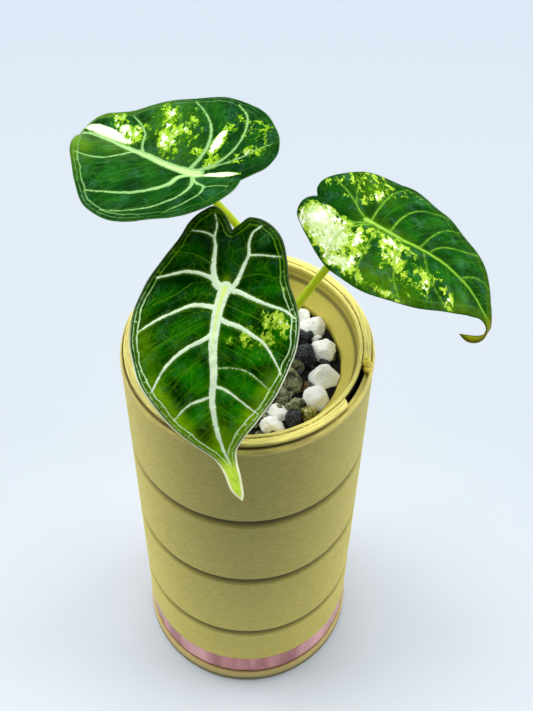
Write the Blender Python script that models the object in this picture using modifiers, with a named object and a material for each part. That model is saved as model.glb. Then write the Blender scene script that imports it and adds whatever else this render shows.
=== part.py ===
"""Potted alocasia: three velvet leaves in a tall self-watering planter.

The planter is an outer pot with three grooves, a rose band above its foot and a
cup that hangs in the rim. The cup holds a bed of mineral grains, the crown of
the plant stands in a hole in that bed, and three petioles rise from the crown,
each carrying one heart-shaped blade.

Sizes below are in millimetres, turned into metres by MM. +Z is up, the pot's
axis is Z, its foot stands on z = 0 and the front of the pot faces -Y.
"""
import math
from dataclasses import dataclass

import bmesh
import bpy
import numpy as np
from mathutils import Matrix, Vector, noise
from mathutils.geometry import delaunay_2d_cdt

MM = 0.001
GAP = 0.3
TURN_STEPS = 48
MERGE = 0.00001
OBJECT_NAME = "potted_alocasia"

# Outer pot
WALL_RADIUS = 47.0
BORE_RADIUS = 44.2
FOOT_RADIUS = 47.7
FOOT_HEIGHT = 7.4
FLOOR_TOP = 3.0
BAND_BOTTOM = FOOT_HEIGHT + GAP
BAND_TOP = 22.7
BAND_SEAT_RADIUS = 45.6
BAND_OUTER_RADIUS = 46.9
GROOVE_LIPS = (150.4, 102.8, 53.3)
GROOVE_DEPTH = 1.5
GROOVE_HEIGHT = 2.4
GROOVE_CHAMFER = 3.2
RIM_TOP = 198.3
RIM_LEDGE = 197.2
RIM_RIDGE_RADIUS = 47.15
RIM_RIDGE_HEIGHT = 2.8
REBATE_RADIUS = 45.85

# Cup that hangs in the rim
CUP_TOP = 200.7
CUP_MOUTH_RADIUS = 41.0
CUP_OUTER_RADIUS = 42.5
CUP_WALL = 2.0
SEAM_RADIUS = 42.6
SEAM_DEPTH = 0.9
FLANGE_RADIUS = REBATE_RADIUS - 0.35
FLANGE_BOTTOM = RIM_LEDGE + GAP
STEP_HEIGHT = 195.3
STEP_RADIUS = 40.3
FUNNEL_FOOT_RADIUS = 35.2
FUNNEL_FOOT_HEIGHT = 188.8
CUP_FLOOR_RADIUS = 30.0
CUP_FLOOR_TOP = 90.0
SLOT_FROM = -37.0
SLOT_TO = -13.0
FLANGE_CORNER = 2.4
DRAIN_COUNT = 3
DRAIN_WIDTH = 4.0
DRAIN_BOTTOM = 94.0
DRAIN_HEIGHT = 22.0

# Bed of grains
BED_EDGE_HEIGHT = 187.0
BED_CENTRE_HEIGHT = 188.2
GRAIN_LIFT = 0.6
GRAIN_SEED = 11
GRAIN_TRIES = 2500
GRAIN_SPACING = 0.8
WALL_FACET = math.cos(math.pi / TURN_STEPS)

# Crown and petioles
CROWN_AT = (0.6, 1.0)
CROWN_RADIUS = 7.0
CROWN_TOP = 192.5
CROWN_BOTTOM = 174.0
CROWN_STEPS = 20
CROWN_TAPER = 0.8
SOCKET_DEPTH = 6.0
PETIOLE_BASE_RADIUS = 1.75
PETIOLE_TOP_RADIUS = 1.3
PETIOLE_POINTS = 12
NECK_LENGTH = 1.6

# Blades
BLADE_THICKNESS = 0.8
BLADE_EDGE_STEP = 3.4
BLADE_INNER_STEP = 6.4


@dataclass(frozen=True)
class Grain:
    """One loose grain: centre in plan, its two widths and a turn in degrees."""

    x: float
    y: float
    width: float
    depth: float
    turn: float = 0.0


@dataclass(frozen=True)
class Leaf:
    """One leaf: where its petiole starts and ends, and how its blade lies.

    The blade is drawn flat, with x along the midrib from the petiole's joint to
    the tip and v across it, positive to the left of someone looking to the tip.
    The flat blade is then bent: the midrib slopes down by `pitch` at the joint
    and by `bend` degrees more for each millimetre, and curls past `curl_from`.
    """

    name: str
    joint: tuple
    heading: float
    pitch: float
    bend: float
    bend_back: float
    curl_from: float
    curl: float
    curl_limit: float
    roll: float
    twist: float
    fold: float
    fold_back: float
    fold_width: float
    droop_left: float
    droop_right: float
    spine: tuple
    left: tuple
    right: tuple
    tip: float
    base: tuple
    rise: float
    lean: tuple
    approach: float
    arrival: tuple


FRONT_LEAF = Leaf(
    name="front",
    joint=(-7.4, -13.5, 246.0),
    heading=-87.0, pitch=31.0, bend=0.40, bend_back=0.45,
    curl_from=60.0, curl=0.0, curl_limit=90.0,
    roll=0.0, twist=0.0,
    fold=0.12, fold_back=0.45, fold_width=9.0,
    droop_left=0.004, droop_right=0.004,
    spine=((-30, 5), (-20, 3.4), (-10, 1.6), (0, 0), (11, -3), (18, -4.8), (27, -5.2),
           (36, -5.6), (44, -4.8), (50, -3.8), (55, -2.6), (61, -0.4), (67, 1), (73, 2.8)),
    left=((-20, 0), (-21.5, 2.2), (-23.5, 5), (-23, 8), (-20.5, 12.5), (-15.5, 17), (-9, 19.5),
          (-1, 21.2), (6.5, 25.3), (12.5, 27.8), (20.5, 28.2), (27, 25.8), (37, 20.8),
          (44, 14.5), (51, 7.4), (55, 4.2), (59, 2.8), (66, 2.2), (71, 1.2)),
    right=((-20, 0), (-23.5, -2), (-26.5, -4.4), (-28, -7.2), (-26.5, -10.5), (-23, -14.2),
           (-17, -17.2), (-10, -22), (-3, -26.5), (4.5, -28.8), (11, -28.8), (16, -28),
           (21, -27), (29, -25.2), (36.5, -21), (46, -15), (52, -9.3), (57.5, -4.2),
           (62.5, -3), (70.5, -1.9)),
    tip=73.5, base=(-2.3, -1.5), rise=20.0, lean=(0.0, -0.22), approach=16.0,
    arrival=(0.0, -0.5, 0.86),
)

LEFT_LEAF = Leaf(
    name="left",
    joint=(-18.4, 17.7, 268.0),
    heading=140.0, pitch=9.0, bend=0.12, bend_back=-0.2,
    curl_from=48.0, curl=3.3, curl_limit=110.0,
    roll=-5.0, twist=0.1,
    fold=0.35, fold_back=0.5, fold_width=18.0,
    droop_left=0.0045, droop_right=0.0012,
    spine=((-30, -9), (-19, -5.8), (-10, -2.6), (0, 0), (40, 0), (70, 0)),
    left=((-17.4, 0), (-19.5, 4), (-21, 9), (-20, 17.5), (-14.7, 22.3), (-5.7, 25.6),
          (4.5, 29), (12, 30.6), (21, 29.8), (30.5, 24.6), (40.5, 17.2), (46.5, 12),
          (50, 8), (53, 4.4), (56, 1.8)),
    right=((-17.4, 0), (-20.5, -2), (-23.6, -4.4), (-24.8, -9), (-22.5, -14.7), (-17, -21),
           (-8, -29), (2.6, -34.4), (11.5, -34.6), (19, -31.6), (26, -27), (35.5, -19.5),
           (41, -13.8), (46, -11.4), (50, -9.8), (53, -7.6), (55.5, -4.6), (57.5, -1.6)),
    tip=60.0, base=(-0.1, 4.4), rise=42.0, lean=(0.21, 0.31), approach=26.0,
    arrival=(-0.56, 0.0, 0.9),
)

RIGHT_LEAF = Leaf(
    name="right",
    joint=(41.5, 15.6, 248.0),
    heading=-34.0, pitch=6.0, bend=0.49, bend_back=0.41,
    curl_from=51.0, curl=7.0, curl_limit=178.0,
    roll=0.0, twist=-0.05,
    fold=0.12, fold_back=0.5, fold_width=9.0,
    droop_left=0.0081, droop_right=0.0059,
    spine=((-30, 0), (0, 0), (15, 0.8), (23, 2.2), (31, 3), (38.5, 2.6), (45, 1),
           (52, -1.9), (60, -3), (80, -3)),
    left=((-20.5, 0), (-22, 2.2), (-22.2, 5), (-20.5, 9.2), (-17, 13.5), (-11.5, 18.6),
          (-6.5, 23), (1, 26.4), (10.5, 26.2), (20.5, 22.4), (29.5, 17.4), (38, 14.4),
          (44.5, 12), (49, 8.8), (52, 4.8), (55, 2), (62, 1.6), (70, 1.3)),
    right=((-20.5, 0), (-22, -3.5), (-22.5, -7), (-21, -12.5), (-17, -16.5), (-11.5, -20.5),
           (-3.5, -24), (4.5, -25.4), (13, -25.6), (23.5, -24.4), (32.5, -20.6),
           (41.5, -14), (48, -6.6), (52, -2.8), (56, -1.7), (63, -1.5), (70, -1.3)),
    tip=73.0, base=(4.1, 0.4), rise=26.0, lean=(0.58, 0.43), approach=10.0,
    arrival=(0.61, -0.03, 0.9),
)

LEAVES = (FRONT_LEAF, LEFT_LEAF, RIGHT_LEAF)

# Grains seen beside the front leaf, largest first
SEEN_GRAINS = (
    Grain(26.0, 14.6, 9.4, 9.8, 20), Grain(28.6, 4.2, 10.6, 8.2, -15), Grain(28.7, -7.0, 10.4, 9.4, 35),
    Grain(25.4, -17.0, 10.0, 9.0, -40), Grain(11.2, -23.4, 7.8, 7.0, 10), Grain(8.8, -29.2, 8.2, 6.0, 0),
    Grain(20.8, 22.0, 7.4, 8.2, 30), Grain(16.8, 27.2, 7.0, 6.6, 0), Grain(21.6, 3.0, 8.8, 10.4, 10),
    Grain(16.6, -26.0, 6.6, 8.6, 15), Grain(19.4, 11.6, 7.0, 7.0, 0), Grain(16.4, -9.6, 6.8, 11.0, 10),
    Grain(13.0, -17.0, 5.8, 6.6, 0), Grain(21.6, -11.6, 4.6, 5.0, 0), Grain(22.6, -24.2, 6.2, 5.8, 25),
    Grain(18.0, -1.2, 6.0, 6.4, 0),
)


def smooth_value(knots, at):
    """Cubic curve through knots (position, value), read at the positions `at`."""
    knots = np.asarray(knots, float)
    place, value = knots[:, 0], knots[:, 1]
    slope = np.gradient(value, place)
    at = np.clip(np.asarray(at, float), place[0], place[-1])
    index = np.clip(np.searchsorted(place, at, side="right") - 1, 0, len(place) - 2)
    span = place[index + 1] - place[index]
    t = (at - place[index]) / span
    return ((2 * t**3 - 3 * t**2 + 1) * value[index] + (t**3 - 2 * t**2 + t) * span * slope[index]
            + (3 * t**2 - 2 * t**3) * value[index + 1] + (t**3 - t**2) * span * slope[index + 1])


def smooth_line(points, step):
    """Even points, about `step` apart, on a smooth curve through the given ones."""
    points = np.asarray(points, float)
    run = np.concatenate(([0.0], np.cumsum(np.linalg.norm(np.diff(points, axis=0), axis=1))))
    count = max(2, int(round(run[-1] / step)) + 1)
    at = np.linspace(0.0, run[-1], count)
    return np.stack([smooth_value(np.stack([run, points[:, k]], axis=1), at) for k in range(2)], axis=1)


class BladeForm:
    """The bent surface of one blade, as a map from flat (x, v) to a point in mm."""

    def __init__(self, leaf):
        self.leaf = leaf
        heading = math.radians(leaf.heading)
        self.forward = np.array([math.cos(heading), math.sin(heading), 0.0])
        self.side = np.array([-math.sin(heading), math.cos(heading), 0.0])
        self.up = np.array([0.0, 0.0, 1.0])
        self.run = np.linspace(-40.0, 90.0, 521)
        self.slope = self.slope_at(self.run)
        step = self.run[1] - self.run[0]
        ahead = np.cumsum(np.cos(self.slope)) * step
        drop = np.cumsum(np.sin(self.slope)) * step
        self.ahead = ahead - np.interp(0.0, self.run, ahead)
        self.drop = drop - np.interp(0.0, self.run, drop)

    def slope_at(self, x):
        """Downward slope of the midrib, in radians."""
        leaf = self.leaf
        bend = np.where(x >= 0.0, leaf.bend, leaf.bend_back)
        degrees = leaf.pitch + bend * x + leaf.curl * np.clip(x - leaf.curl_from, 0.0, None)
        return np.radians(np.clip(degrees, -60.0, leaf.curl_limit))

    def frame(self, x):
        """Midrib point, sideways direction and normal at distance x."""
        leaf = self.leaf
        slope = np.interp(x, self.run, self.slope)[..., None]
        ahead = np.interp(x, self.run, self.ahead)[..., None]
        drop = np.interp(x, self.run, self.drop)[..., None]
        middle = np.array(leaf.joint) + ahead * self.forward - drop * self.up
        normal = np.sin(slope) * self.forward + np.cos(slope) * self.up
        roll = np.radians(leaf.roll + leaf.twist * x)[..., None]
        side = np.cos(roll) * self.side + np.sin(roll) * normal
        normal = np.cos(roll) * normal - np.sin(roll) * self.side
        return middle, side, normal

    def point(self, x, v):
        """Point of the blade's upper face at flat position (x, v)."""
        leaf = self.leaf
        middle, side, normal = self.frame(x)
        away = np.abs(v)
        fold = leaf.fold + (leaf.fold_back - leaf.fold) * np.clip(-x / 12.0, 0.0, 1.0)
        droop = np.where(v >= 0.0, leaf.droop_left, leaf.droop_right)
        height = fold * leaf.fold_width * (1.0 - np.exp(-away / leaf.fold_width)) - droop * v * v
        return middle + (v + smooth_value(leaf.spine, x))[..., None] * side + height[..., None] * normal


def clear_scene():
    """Remove every object of the open scene."""
    for item in list(bpy.data.objects):
        bpy.data.objects.remove(item, do_unlink=True)


def make_collection(name):
    """New collection linked to the scene."""
    group = bpy.data.collections.new(name)
    bpy.context.scene.collection.children.link(group)
    return group


def make_material(name, colour, roughness, metallic=0.0):
    """Principled material with a plain colour."""
    material = bpy.data.materials.new(name)
    material.use_nodes = True
    shader = material.node_tree.nodes["Principled BSDF"]
    shader.inputs["Base Color"].default_value = (*colour, 1.0)
    shader.inputs["Roughness"].default_value = roughness
    shader.inputs["Metallic"].default_value = metallic
    material.diffuse_color = (*colour, 1.0)
    return material


def add_object(name, data, group, material=None):
    """Wrap mesh or curve data in an object of the collection."""
    item = bpy.data.objects.new(name, data)
    group.objects.link(item)
    if material is not None:
        data.materials.append(material)
    return item


def add_cutter(name, data, group):
    """A guide object that shapes others and isn't part of the model."""
    item = add_object(name, data, group)
    item.hide_render = True
    item.display_type = "WIRE"
    return item


def cut(target, cutter, operation="DIFFERENCE"):
    """Boolean modifier on the target."""
    modifier = target.modifiers.new(cutter.name, "BOOLEAN")
    modifier.object = cutter
    modifier.operation = operation
    modifier.solver = "EXACT"
    return modifier


def turned(name, profile, group, material, closed=False):
    """Turn a profile of (radius, height) in mm round the Z axis."""
    mesh = bpy.data.meshes.new(name)
    verts = [(radius * MM, 0.0, height * MM) for radius, height in profile]
    edges = [(k, k + 1) for k in range(len(profile) - 1)]
    if closed:
        edges.append((len(profile) - 1, 0))
    mesh.from_pydata(verts, edges, [])
    item = add_object(name, mesh, group, material)
    screw = item.modifiers.new("turn", "SCREW")
    screw.axis = "Z"
    screw.angle = 2.0 * math.pi
    screw.steps = TURN_STEPS
    screw.render_steps = TURN_STEPS
    screw.use_merge_vertices = True
    screw.merge_threshold = MERGE
    screw.use_smooth_shade = True
    return item


def mesh_from_bmesh(name, shape):
    """Store a bmesh in a new mesh and free it."""
    mesh = bpy.data.meshes.new(name)
    shape.to_mesh(mesh)
    shape.free()
    return mesh


def groove_profile():
    """Outer side of the pot's wall, top to bottom, with its three grooves."""
    points = []
    for lip in GROOVE_LIPS:
        foot = lip - GROOVE_HEIGHT
        points += [(WALL_RADIUS, lip), (WALL_RADIUS - GROOVE_DEPTH, lip - 0.3),
                   (WALL_RADIUS - GROOVE_DEPTH, foot), (WALL_RADIUS, foot - GROOVE_CHAMFER)]
    return points


def build_outer_pot(group, material):
    """Hollow outer pot with floor, grooves, band seat, foot and a rebated rim."""
    profile = [(0.0, FLOOR_TOP), (BORE_RADIUS - 1.5, FLOOR_TOP), (BORE_RADIUS, FLOOR_TOP + 1.5),
               (BORE_RADIUS, RIM_LEDGE), (REBATE_RADIUS, RIM_LEDGE), (REBATE_RADIUS, RIM_TOP),
               (RIM_RIDGE_RADIUS - 0.7, RIM_TOP), (RIM_RIDGE_RADIUS, RIM_TOP - 0.7),
               (RIM_RIDGE_RADIUS, RIM_TOP - RIM_RIDGE_HEIGHT + 0.4),
               (WALL_RADIUS, RIM_TOP - RIM_RIDGE_HEIGHT)]
    profile += groove_profile()
    profile += [(WALL_RADIUS, BAND_TOP), (BAND_SEAT_RADIUS, BAND_TOP), (BAND_SEAT_RADIUS, FOOT_HEIGHT),
                (FOOT_RADIUS - 0.5, FOOT_HEIGHT), (FOOT_RADIUS, FOOT_HEIGHT - 0.5),
                (FOOT_RADIUS, 0.6), (FOOT_RADIUS - 0.6, 0.0), (0.0, 0.0)]
    return turned("outer_pot", profile, group, material)


def build_rose_band(group, material):
    """Thin rose band in its seat above the foot."""
    inner = BAND_SEAT_RADIUS + GAP
    low, high = BAND_BOTTOM, BAND_TOP - GAP
    profile = [(inner, high), (BAND_OUTER_RADIUS - 0.3, high), (BAND_OUTER_RADIUS, high - 0.3),
               (BAND_OUTER_RADIUS, low + 0.3), (BAND_OUTER_RADIUS - 0.3, low), (inner, low)]
    return turned("rose_band", profile, group, material, closed=True)


def cup_inner_radius(height):
    """Radius of the cup's inner wall at a height, floor to funnel top."""
    return np.interp(height, (CUP_FLOOR_TOP, FUNNEL_FOOT_HEIGHT, STEP_HEIGHT - 0.5),
                     (CUP_FLOOR_RADIUS, FUNNEL_FOOT_RADIUS, STEP_RADIUS - 0.4))


def slot_plan():
    """Plan of the watering gap: a ring sector whose far corners flare outwards."""
    reach = RIM_RIDGE_RADIUS + 1.0 - SEAM_RADIUS
    flare = math.degrees(FLANGE_CORNER / FLANGE_RADIUS)
    plan = []
    for share in np.linspace(0.0, 1.0, 9):
        plan.append((SEAM_RADIUS, SLOT_FROM + (SLOT_TO - SLOT_FROM) * share))
    for turn in np.linspace(0.0, math.pi / 2, 6)[1:]:
        plan.append((SEAM_RADIUS + FLANGE_CORNER * math.sin(turn), SLOT_TO + flare * (1 - math.cos(turn))))
    for share in np.linspace(0.0, 1.0, 9):
        plan.append((SEAM_RADIUS + reach, SLOT_TO + flare - (SLOT_TO - SLOT_FROM + 2 * flare) * share))
    for turn in np.linspace(math.pi / 2, 0.0, 6)[:-1]:
        plan.append((SEAM_RADIUS + FLANGE_CORNER * math.sin(turn), SLOT_FROM - flare * (1 - math.cos(turn))))
    return [(r * math.cos(math.radians(a)), r * math.sin(math.radians(a))) for r, a in plan]


def prism(name, plan, low, high, group):
    """Upright cutter with a flat outline."""
    shape = bmesh.new()
    face = shape.faces.new([shape.verts.new((x * MM, y * MM, low * MM)) for x, y in plan])
    lifted = bmesh.ops.extrude_face_region(shape, geom=[face])
    moved = [item for item in lifted["geom"] if isinstance(item, bmesh.types.BMVert)]
    bmesh.ops.translate(shape, verts=moved, vec=(0.0, 0.0, (high - low) * MM))
    bmesh.ops.recalc_face_normals(shape, faces=shape.faces)
    return add_cutter(name, mesh_from_bmesh(name, shape), group)


def drain_cutter(index, group):
    """Flat bar through the cup that opens two drain slots opposite each other."""
    shape = bmesh.new()
    centre = Vector((0.0, 0.0, (DRAIN_BOTTOM + DRAIN_HEIGHT / 2) * MM))
    size = (2.2 * WALL_RADIUS * MM, DRAIN_WIDTH * MM, DRAIN_HEIGHT * MM)
    turn = Matrix.Rotation(math.pi * (index + 0.5) / DRAIN_COUNT, 4, "Z")
    place = Matrix.Translation(centre) @ turn @ Matrix.Diagonal((*size, 1.0))
    bmesh.ops.create_cube(shape, size=1.0, matrix=place)
    name = f"drain_cutter_{index}"
    return add_cutter(name, mesh_from_bmesh(name, shape), group)


def build_cup(group, cutters, material):
    """Cup with a funnel mouth, a flange that sits on the rim, a gap for water and drains."""
    outer_funnel = FUNNEL_FOOT_RADIUS + CUP_WALL
    profile = [(0.0, CUP_FLOOR_TOP), (CUP_FLOOR_RADIUS, CUP_FLOOR_TOP),
               (FUNNEL_FOOT_RADIUS, FUNNEL_FOOT_HEIGHT), (STEP_RADIUS - 0.4, STEP_HEIGHT - 0.5),
               (STEP_RADIUS, STEP_HEIGHT), (CUP_MOUTH_RADIUS - 0.2, STEP_HEIGHT + 0.6),
               (CUP_MOUTH_RADIUS, CUP_TOP - 0.4), (CUP_MOUTH_RADIUS + 0.4, CUP_TOP),
               (SEAM_RADIUS - 0.35, CUP_TOP), (SEAM_RADIUS, CUP_TOP - SEAM_DEPTH),
               (SEAM_RADIUS + 0.35, CUP_TOP), (FLANGE_RADIUS - 0.4, CUP_TOP),
               (FLANGE_RADIUS, CUP_TOP - 0.4), (FLANGE_RADIUS, FLANGE_BOTTOM),
               (CUP_OUTER_RADIUS, FLANGE_BOTTOM), (CUP_OUTER_RADIUS, STEP_HEIGHT - 1.0),
               (outer_funnel, FUNNEL_FOOT_HEIGHT - 1.2),
               (CUP_FLOOR_RADIUS + CUP_WALL, CUP_FLOOR_TOP - CUP_WALL), (0.0, CUP_FLOOR_TOP - CUP_WALL)]
    cup = turned("insert_cup", profile, group, material)
    cut(cup, prism("water_gap_cutter", slot_plan(), FLANGE_BOTTOM - 1.0, CUP_TOP + 1.0, cutters))
    for index in range(DRAIN_COUNT):
        cut(cup, drain_cutter(index, cutters))
    return cup


def grain_mesh(grain, height, rng):
    """Faceted lump for one grain, pressed in where the cup's wall stands."""
    shape = bmesh.new()
    bmesh.ops.create_icosphere(shape, subdivisions=2, radius=1.0)
    turn = Matrix.Rotation(math.radians(grain.turn), 3, "Z")
    thick = 0.5 * (grain.width + grain.depth) * 0.45
    shift = Vector(rng.uniform(-50.0, 50.0, 3))
    for vert in shape.verts:
        swell = 1.0 + 0.16 * noise.noise(vert.co * 1.3 + shift)
        lump = Vector((vert.co.x * grain.width / 2, vert.co.y * grain.depth / 2, vert.co.z * thick)) * swell
        lump = turn @ lump + Vector((grain.x, grain.y, height))
        reach = math.hypot(lump.x, lump.y)
        room = float(cup_inner_radius(lump.z)) * WALL_FACET - GAP
        if reach > room:
            lump.x *= room / reach
            lump.y *= room / reach
        vert.co = lump * MM
    return mesh_from_bmesh("grain", shape)


def scatter_grains(rng):
    """The grains seen in front, then others dropped at random until the bed is covered."""
    grains = list(SEEN_GRAINS)
    room = float(cup_inner_radius(BED_EDGE_HEIGHT)) - GAP
    for _ in range(GRAIN_TRIES):
        width, depth = rng.uniform(6.0, 10.4, 2)
        radius = (room - width * 0.48) * math.sqrt(rng.uniform(0.0, 1.0))
        angle = rng.uniform(0.0, 2.0 * math.pi)
        x, y = radius * math.cos(angle), radius * math.sin(angle)
        own = 0.25 * (width + depth)
        clear = math.hypot(x - CROWN_AT[0], y - CROWN_AT[1]) > CROWN_RADIUS + own + 0.8
        apart = all(math.hypot(x - g.x, y - g.y) > GRAIN_SPACING * (own + 0.25 * (g.width + g.depth))
                    for g in grains)
        if clear and apart:
            grains.append(Grain(x, y, width, depth, rng.uniform(0.0, 180.0)))
    return grains


def build_bed(group, cutters, material):
    """Bed of grains that fills the cup, with a plain hole for the crown."""
    rng = np.random.default_rng(GRAIN_SEED)
    low = CUP_FLOOR_TOP + GAP
    profile = [(0.0, BED_CENTRE_HEIGHT), (float(cup_inner_radius(BED_EDGE_HEIGHT)) - GAP, BED_EDGE_HEIGHT),
               (float(cup_inner_radius(low)) - GAP - 0.05, low), (0.0, low)]
    bed = turned("substrate", profile, group, material)
    heap = make_collection("loose_grains")
    for grain in scatter_grains(rng):
        share = math.hypot(grain.x, grain.y) / FUNNEL_FOOT_RADIUS
        surface = BED_CENTRE_HEIGHT + share * (BED_EDGE_HEIGHT - BED_CENTRE_HEIGHT)
        height = surface + GRAIN_LIFT + rng.uniform(-0.7, 0.7)
        add_object("grain", grain_mesh(grain, height, rng), heap)
    join = bed.modifiers.new("grains", "BOOLEAN")
    join.operand_type = "COLLECTION"
    join.collection = heap
    join.operation = "UNION"
    join.solver = "EXACT"
    hole = bmesh.new()
    depth = CROWN_TOP + 6.0 - CROWN_BOTTOM + GAP
    middle = CROWN_BOTTOM - GAP + depth / 2
    radius = (CROWN_RADIUS + GAP) * MM
    place = Matrix.Translation((CROWN_AT[0] * MM, CROWN_AT[1] * MM, middle * MM))
    bmesh.ops.create_cone(hole, cap_ends=True, segments=CROWN_STEPS, radius1=radius, radius2=radius,
                          depth=depth * MM, matrix=place)
    cut(bed, add_cutter("crown_hole_cutter", mesh_from_bmesh("crown_hole_cutter", hole), cutters))
    view = bpy.context.evaluated_depsgraph_get()
    mesh = bpy.data.meshes.new_from_object(bed.evaluated_get(view))
    bed.modifiers.clear()
    bed.data = mesh
    for grain in list(heap.objects):
        bpy.data.objects.remove(grain, do_unlink=True)
    bpy.data.collections.remove(heap)
    return bed


def petiole_start(leaf):
    """Foot of the petiole in its socket, and the direction in which it leaves."""
    foot = np.array([CROWN_AT[0] + leaf.base[0], CROWN_AT[1] + leaf.base[1], CROWN_TOP - SOCKET_DEPTH])
    lean = np.array([*leaf.lean, 1.0])
    return foot, lean / np.linalg.norm(lean)


def petiole_path(leaf):
    """Points up the middle of a petiole, from its socket to the blade's underside."""
    foot, leave = petiole_start(leaf)
    _, _, normal = BladeForm(leaf).frame(np.zeros(1))
    end = np.array(leaf.joint) - normal[0] * (BLADE_THICKNESS + GAP + 0.1)
    neck = end - normal[0] * NECK_LENGTH
    start = foot + leave * (SOCKET_DEPTH + 1.0)
    arrive = np.array(leaf.arrival) / np.linalg.norm(leaf.arrival)
    first, second = start + leave * leaf.rise, neck - arrive * leaf.approach
    points = [foot]
    for t in np.linspace(0.0, 1.0, PETIOLE_POINTS):
        s = 1.0 - t
        points.append(s**3 * start + 3 * s * s * t * first + 3 * s * t * t * second + t**3 * neck)
    return np.array(points + [end])


def build_petiole(leaf, group, material):
    """Round stalk that thins towards the blade."""
    path = petiole_path(leaf)
    name = f"petiole_{leaf.name}"
    curve = bpy.data.curves.new(name, "CURVE")
    curve.dimensions = "3D"
    curve.bevel_depth = PETIOLE_BASE_RADIUS * MM
    curve.bevel_resolution = 2
    curve.use_fill_caps = True
    line = curve.splines.new("POLY")
    line.points.add(len(path) - 1)
    for share, point, knot in zip(np.linspace(0.0, 1.0, len(path)), path, line.points):
        knot.co = (*(point * MM), 1.0)
        knot.radius = 1.0 + share * (PETIOLE_TOP_RADIUS / PETIOLE_BASE_RADIUS - 1.0)
    return add_object(name, curve, group, material)


def build_crown(group, cutters, material):
    """Short stem at the top of the root, with a socket for each petiole."""
    shape = bmesh.new()
    bmesh.ops.create_cone(shape, cap_ends=True, segments=CROWN_STEPS, radius1=CROWN_RADIUS * MM,
                          radius2=CROWN_RADIUS * MM, depth=(CROWN_TOP - CROWN_BOTTOM) * MM)
    for vert in shape.verts:
        if vert.co.z > 0.0:
            vert.co.x *= CROWN_TAPER
            vert.co.y *= CROWN_TAPER
    middle = (CROWN_TOP + CROWN_BOTTOM) / 2
    bmesh.ops.translate(shape, verts=shape.verts, vec=(CROWN_AT[0] * MM, CROWN_AT[1] * MM, middle * MM))
    crown = add_object("crown", mesh_from_bmesh("crown", shape), group, material)
    for leaf in LEAVES:
        foot, leave = petiole_start(leaf)
        length = SOCKET_DEPTH + GAP + 6.0
        socket = bmesh.new()
        radius = (PETIOLE_BASE_RADIUS + GAP) * MM
        turn = Vector((0.0, 0.0, 1.0)).rotation_difference(Vector(leave)).to_matrix().to_4x4()
        place = Matrix.Translation(Vector((foot + leave * (length / 2 - GAP)) * MM)) @ turn
        bmesh.ops.create_cone(socket, cap_ends=True, segments=12, radius1=radius, radius2=radius,
                              depth=length * MM, matrix=place)
        name = f"socket_cutter_{leaf.name}"
        cut(crown, add_cutter(name, mesh_from_bmesh(name, socket), cutters))
    return crown


def blade_outline(leaf):
    """Closed flat outline, from the notch up the left side to the tip and back."""
    left = smooth_line([*leaf.left, (leaf.tip, 0.0)], BLADE_EDGE_STEP)
    right = smooth_line([*leaf.right, (leaf.tip, 0.0)], BLADE_EDGE_STEP)
    return np.concatenate([right, left[-2:0:-1]])


def inside(points, outline, margin):
    """Which points lie inside the outline and at least the margin from its corners."""
    x, y = points[:, 0], points[:, 1]
    odd = np.zeros(len(points), bool)
    for (ax, ay), (bx, by) in zip(outline, np.roll(outline, -1, axis=0)):
        crosses = (ay > y) != (by > y)
        at = ax + (y - ay) / (by - ay if by != ay else 1.0) * (bx - ax)
        odd ^= crosses & (x < at)
    gap = np.sqrt(((points[:, None, :] - outline[None, :, :]) ** 2).sum(axis=2)).min(axis=1)
    return odd & (gap > margin)


def blade_plan(leaf):
    """Flat triangles of a blade: its outline, its midrib and even points between."""
    outline = blade_outline(leaf)
    rib = np.array([(x, 0.0) for x in np.arange(leaf.left[0][0] + BLADE_EDGE_STEP, leaf.tip - 1.5,
                                                BLADE_EDGE_STEP)])
    rows = []
    height = BLADE_INNER_STEP * math.sqrt(3.0) / 2.0
    for row in range(1, int(42.0 / height)):
        shift = 0.5 * BLADE_INNER_STEP * (row % 2)
        for x in np.arange(-36.0 + shift, leaf.tip, BLADE_INNER_STEP):
            rows += [(x, row * height), (x, -row * height)]
    rows = np.array(rows)
    rows = rows[inside(rows, outline, BLADE_INNER_STEP * 0.45)]
    points = np.concatenate([outline, rib, rows])
    count, ribs = len(outline), len(rib)
    edges = [(k, (k + 1) % count) for k in range(count)]
    edges += [(count + k, count + k + 1) for k in range(ribs - 1)]
    found = delaunay_2d_cdt([Vector(p) for p in points], edges, [], 1, 1e-4)
    return np.array([tuple(p) for p in found[0]]), [tuple(face) for face in found[2]]


def build_blade(leaf, group, material):
    """Heart-shaped blade: the flat plan bent to its form and thickened downwards."""
    plan, faces = blade_plan(leaf)
    points = BladeForm(leaf).point(plan[:, 0], plan[:, 1]) * MM
    name = f"blade_{leaf.name}"
    mesh = bpy.data.meshes.new(name)
    mesh.from_pydata([tuple(p) for p in points], [], faces)
    mesh.shade_smooth()
    blade = add_object(name, mesh, group, material)
    shell = blade.modifiers.new("thickness", "SOLIDIFY")
    shell.thickness = BLADE_THICKNESS * MM
    shell.offset = -1.0
    return blade


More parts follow.
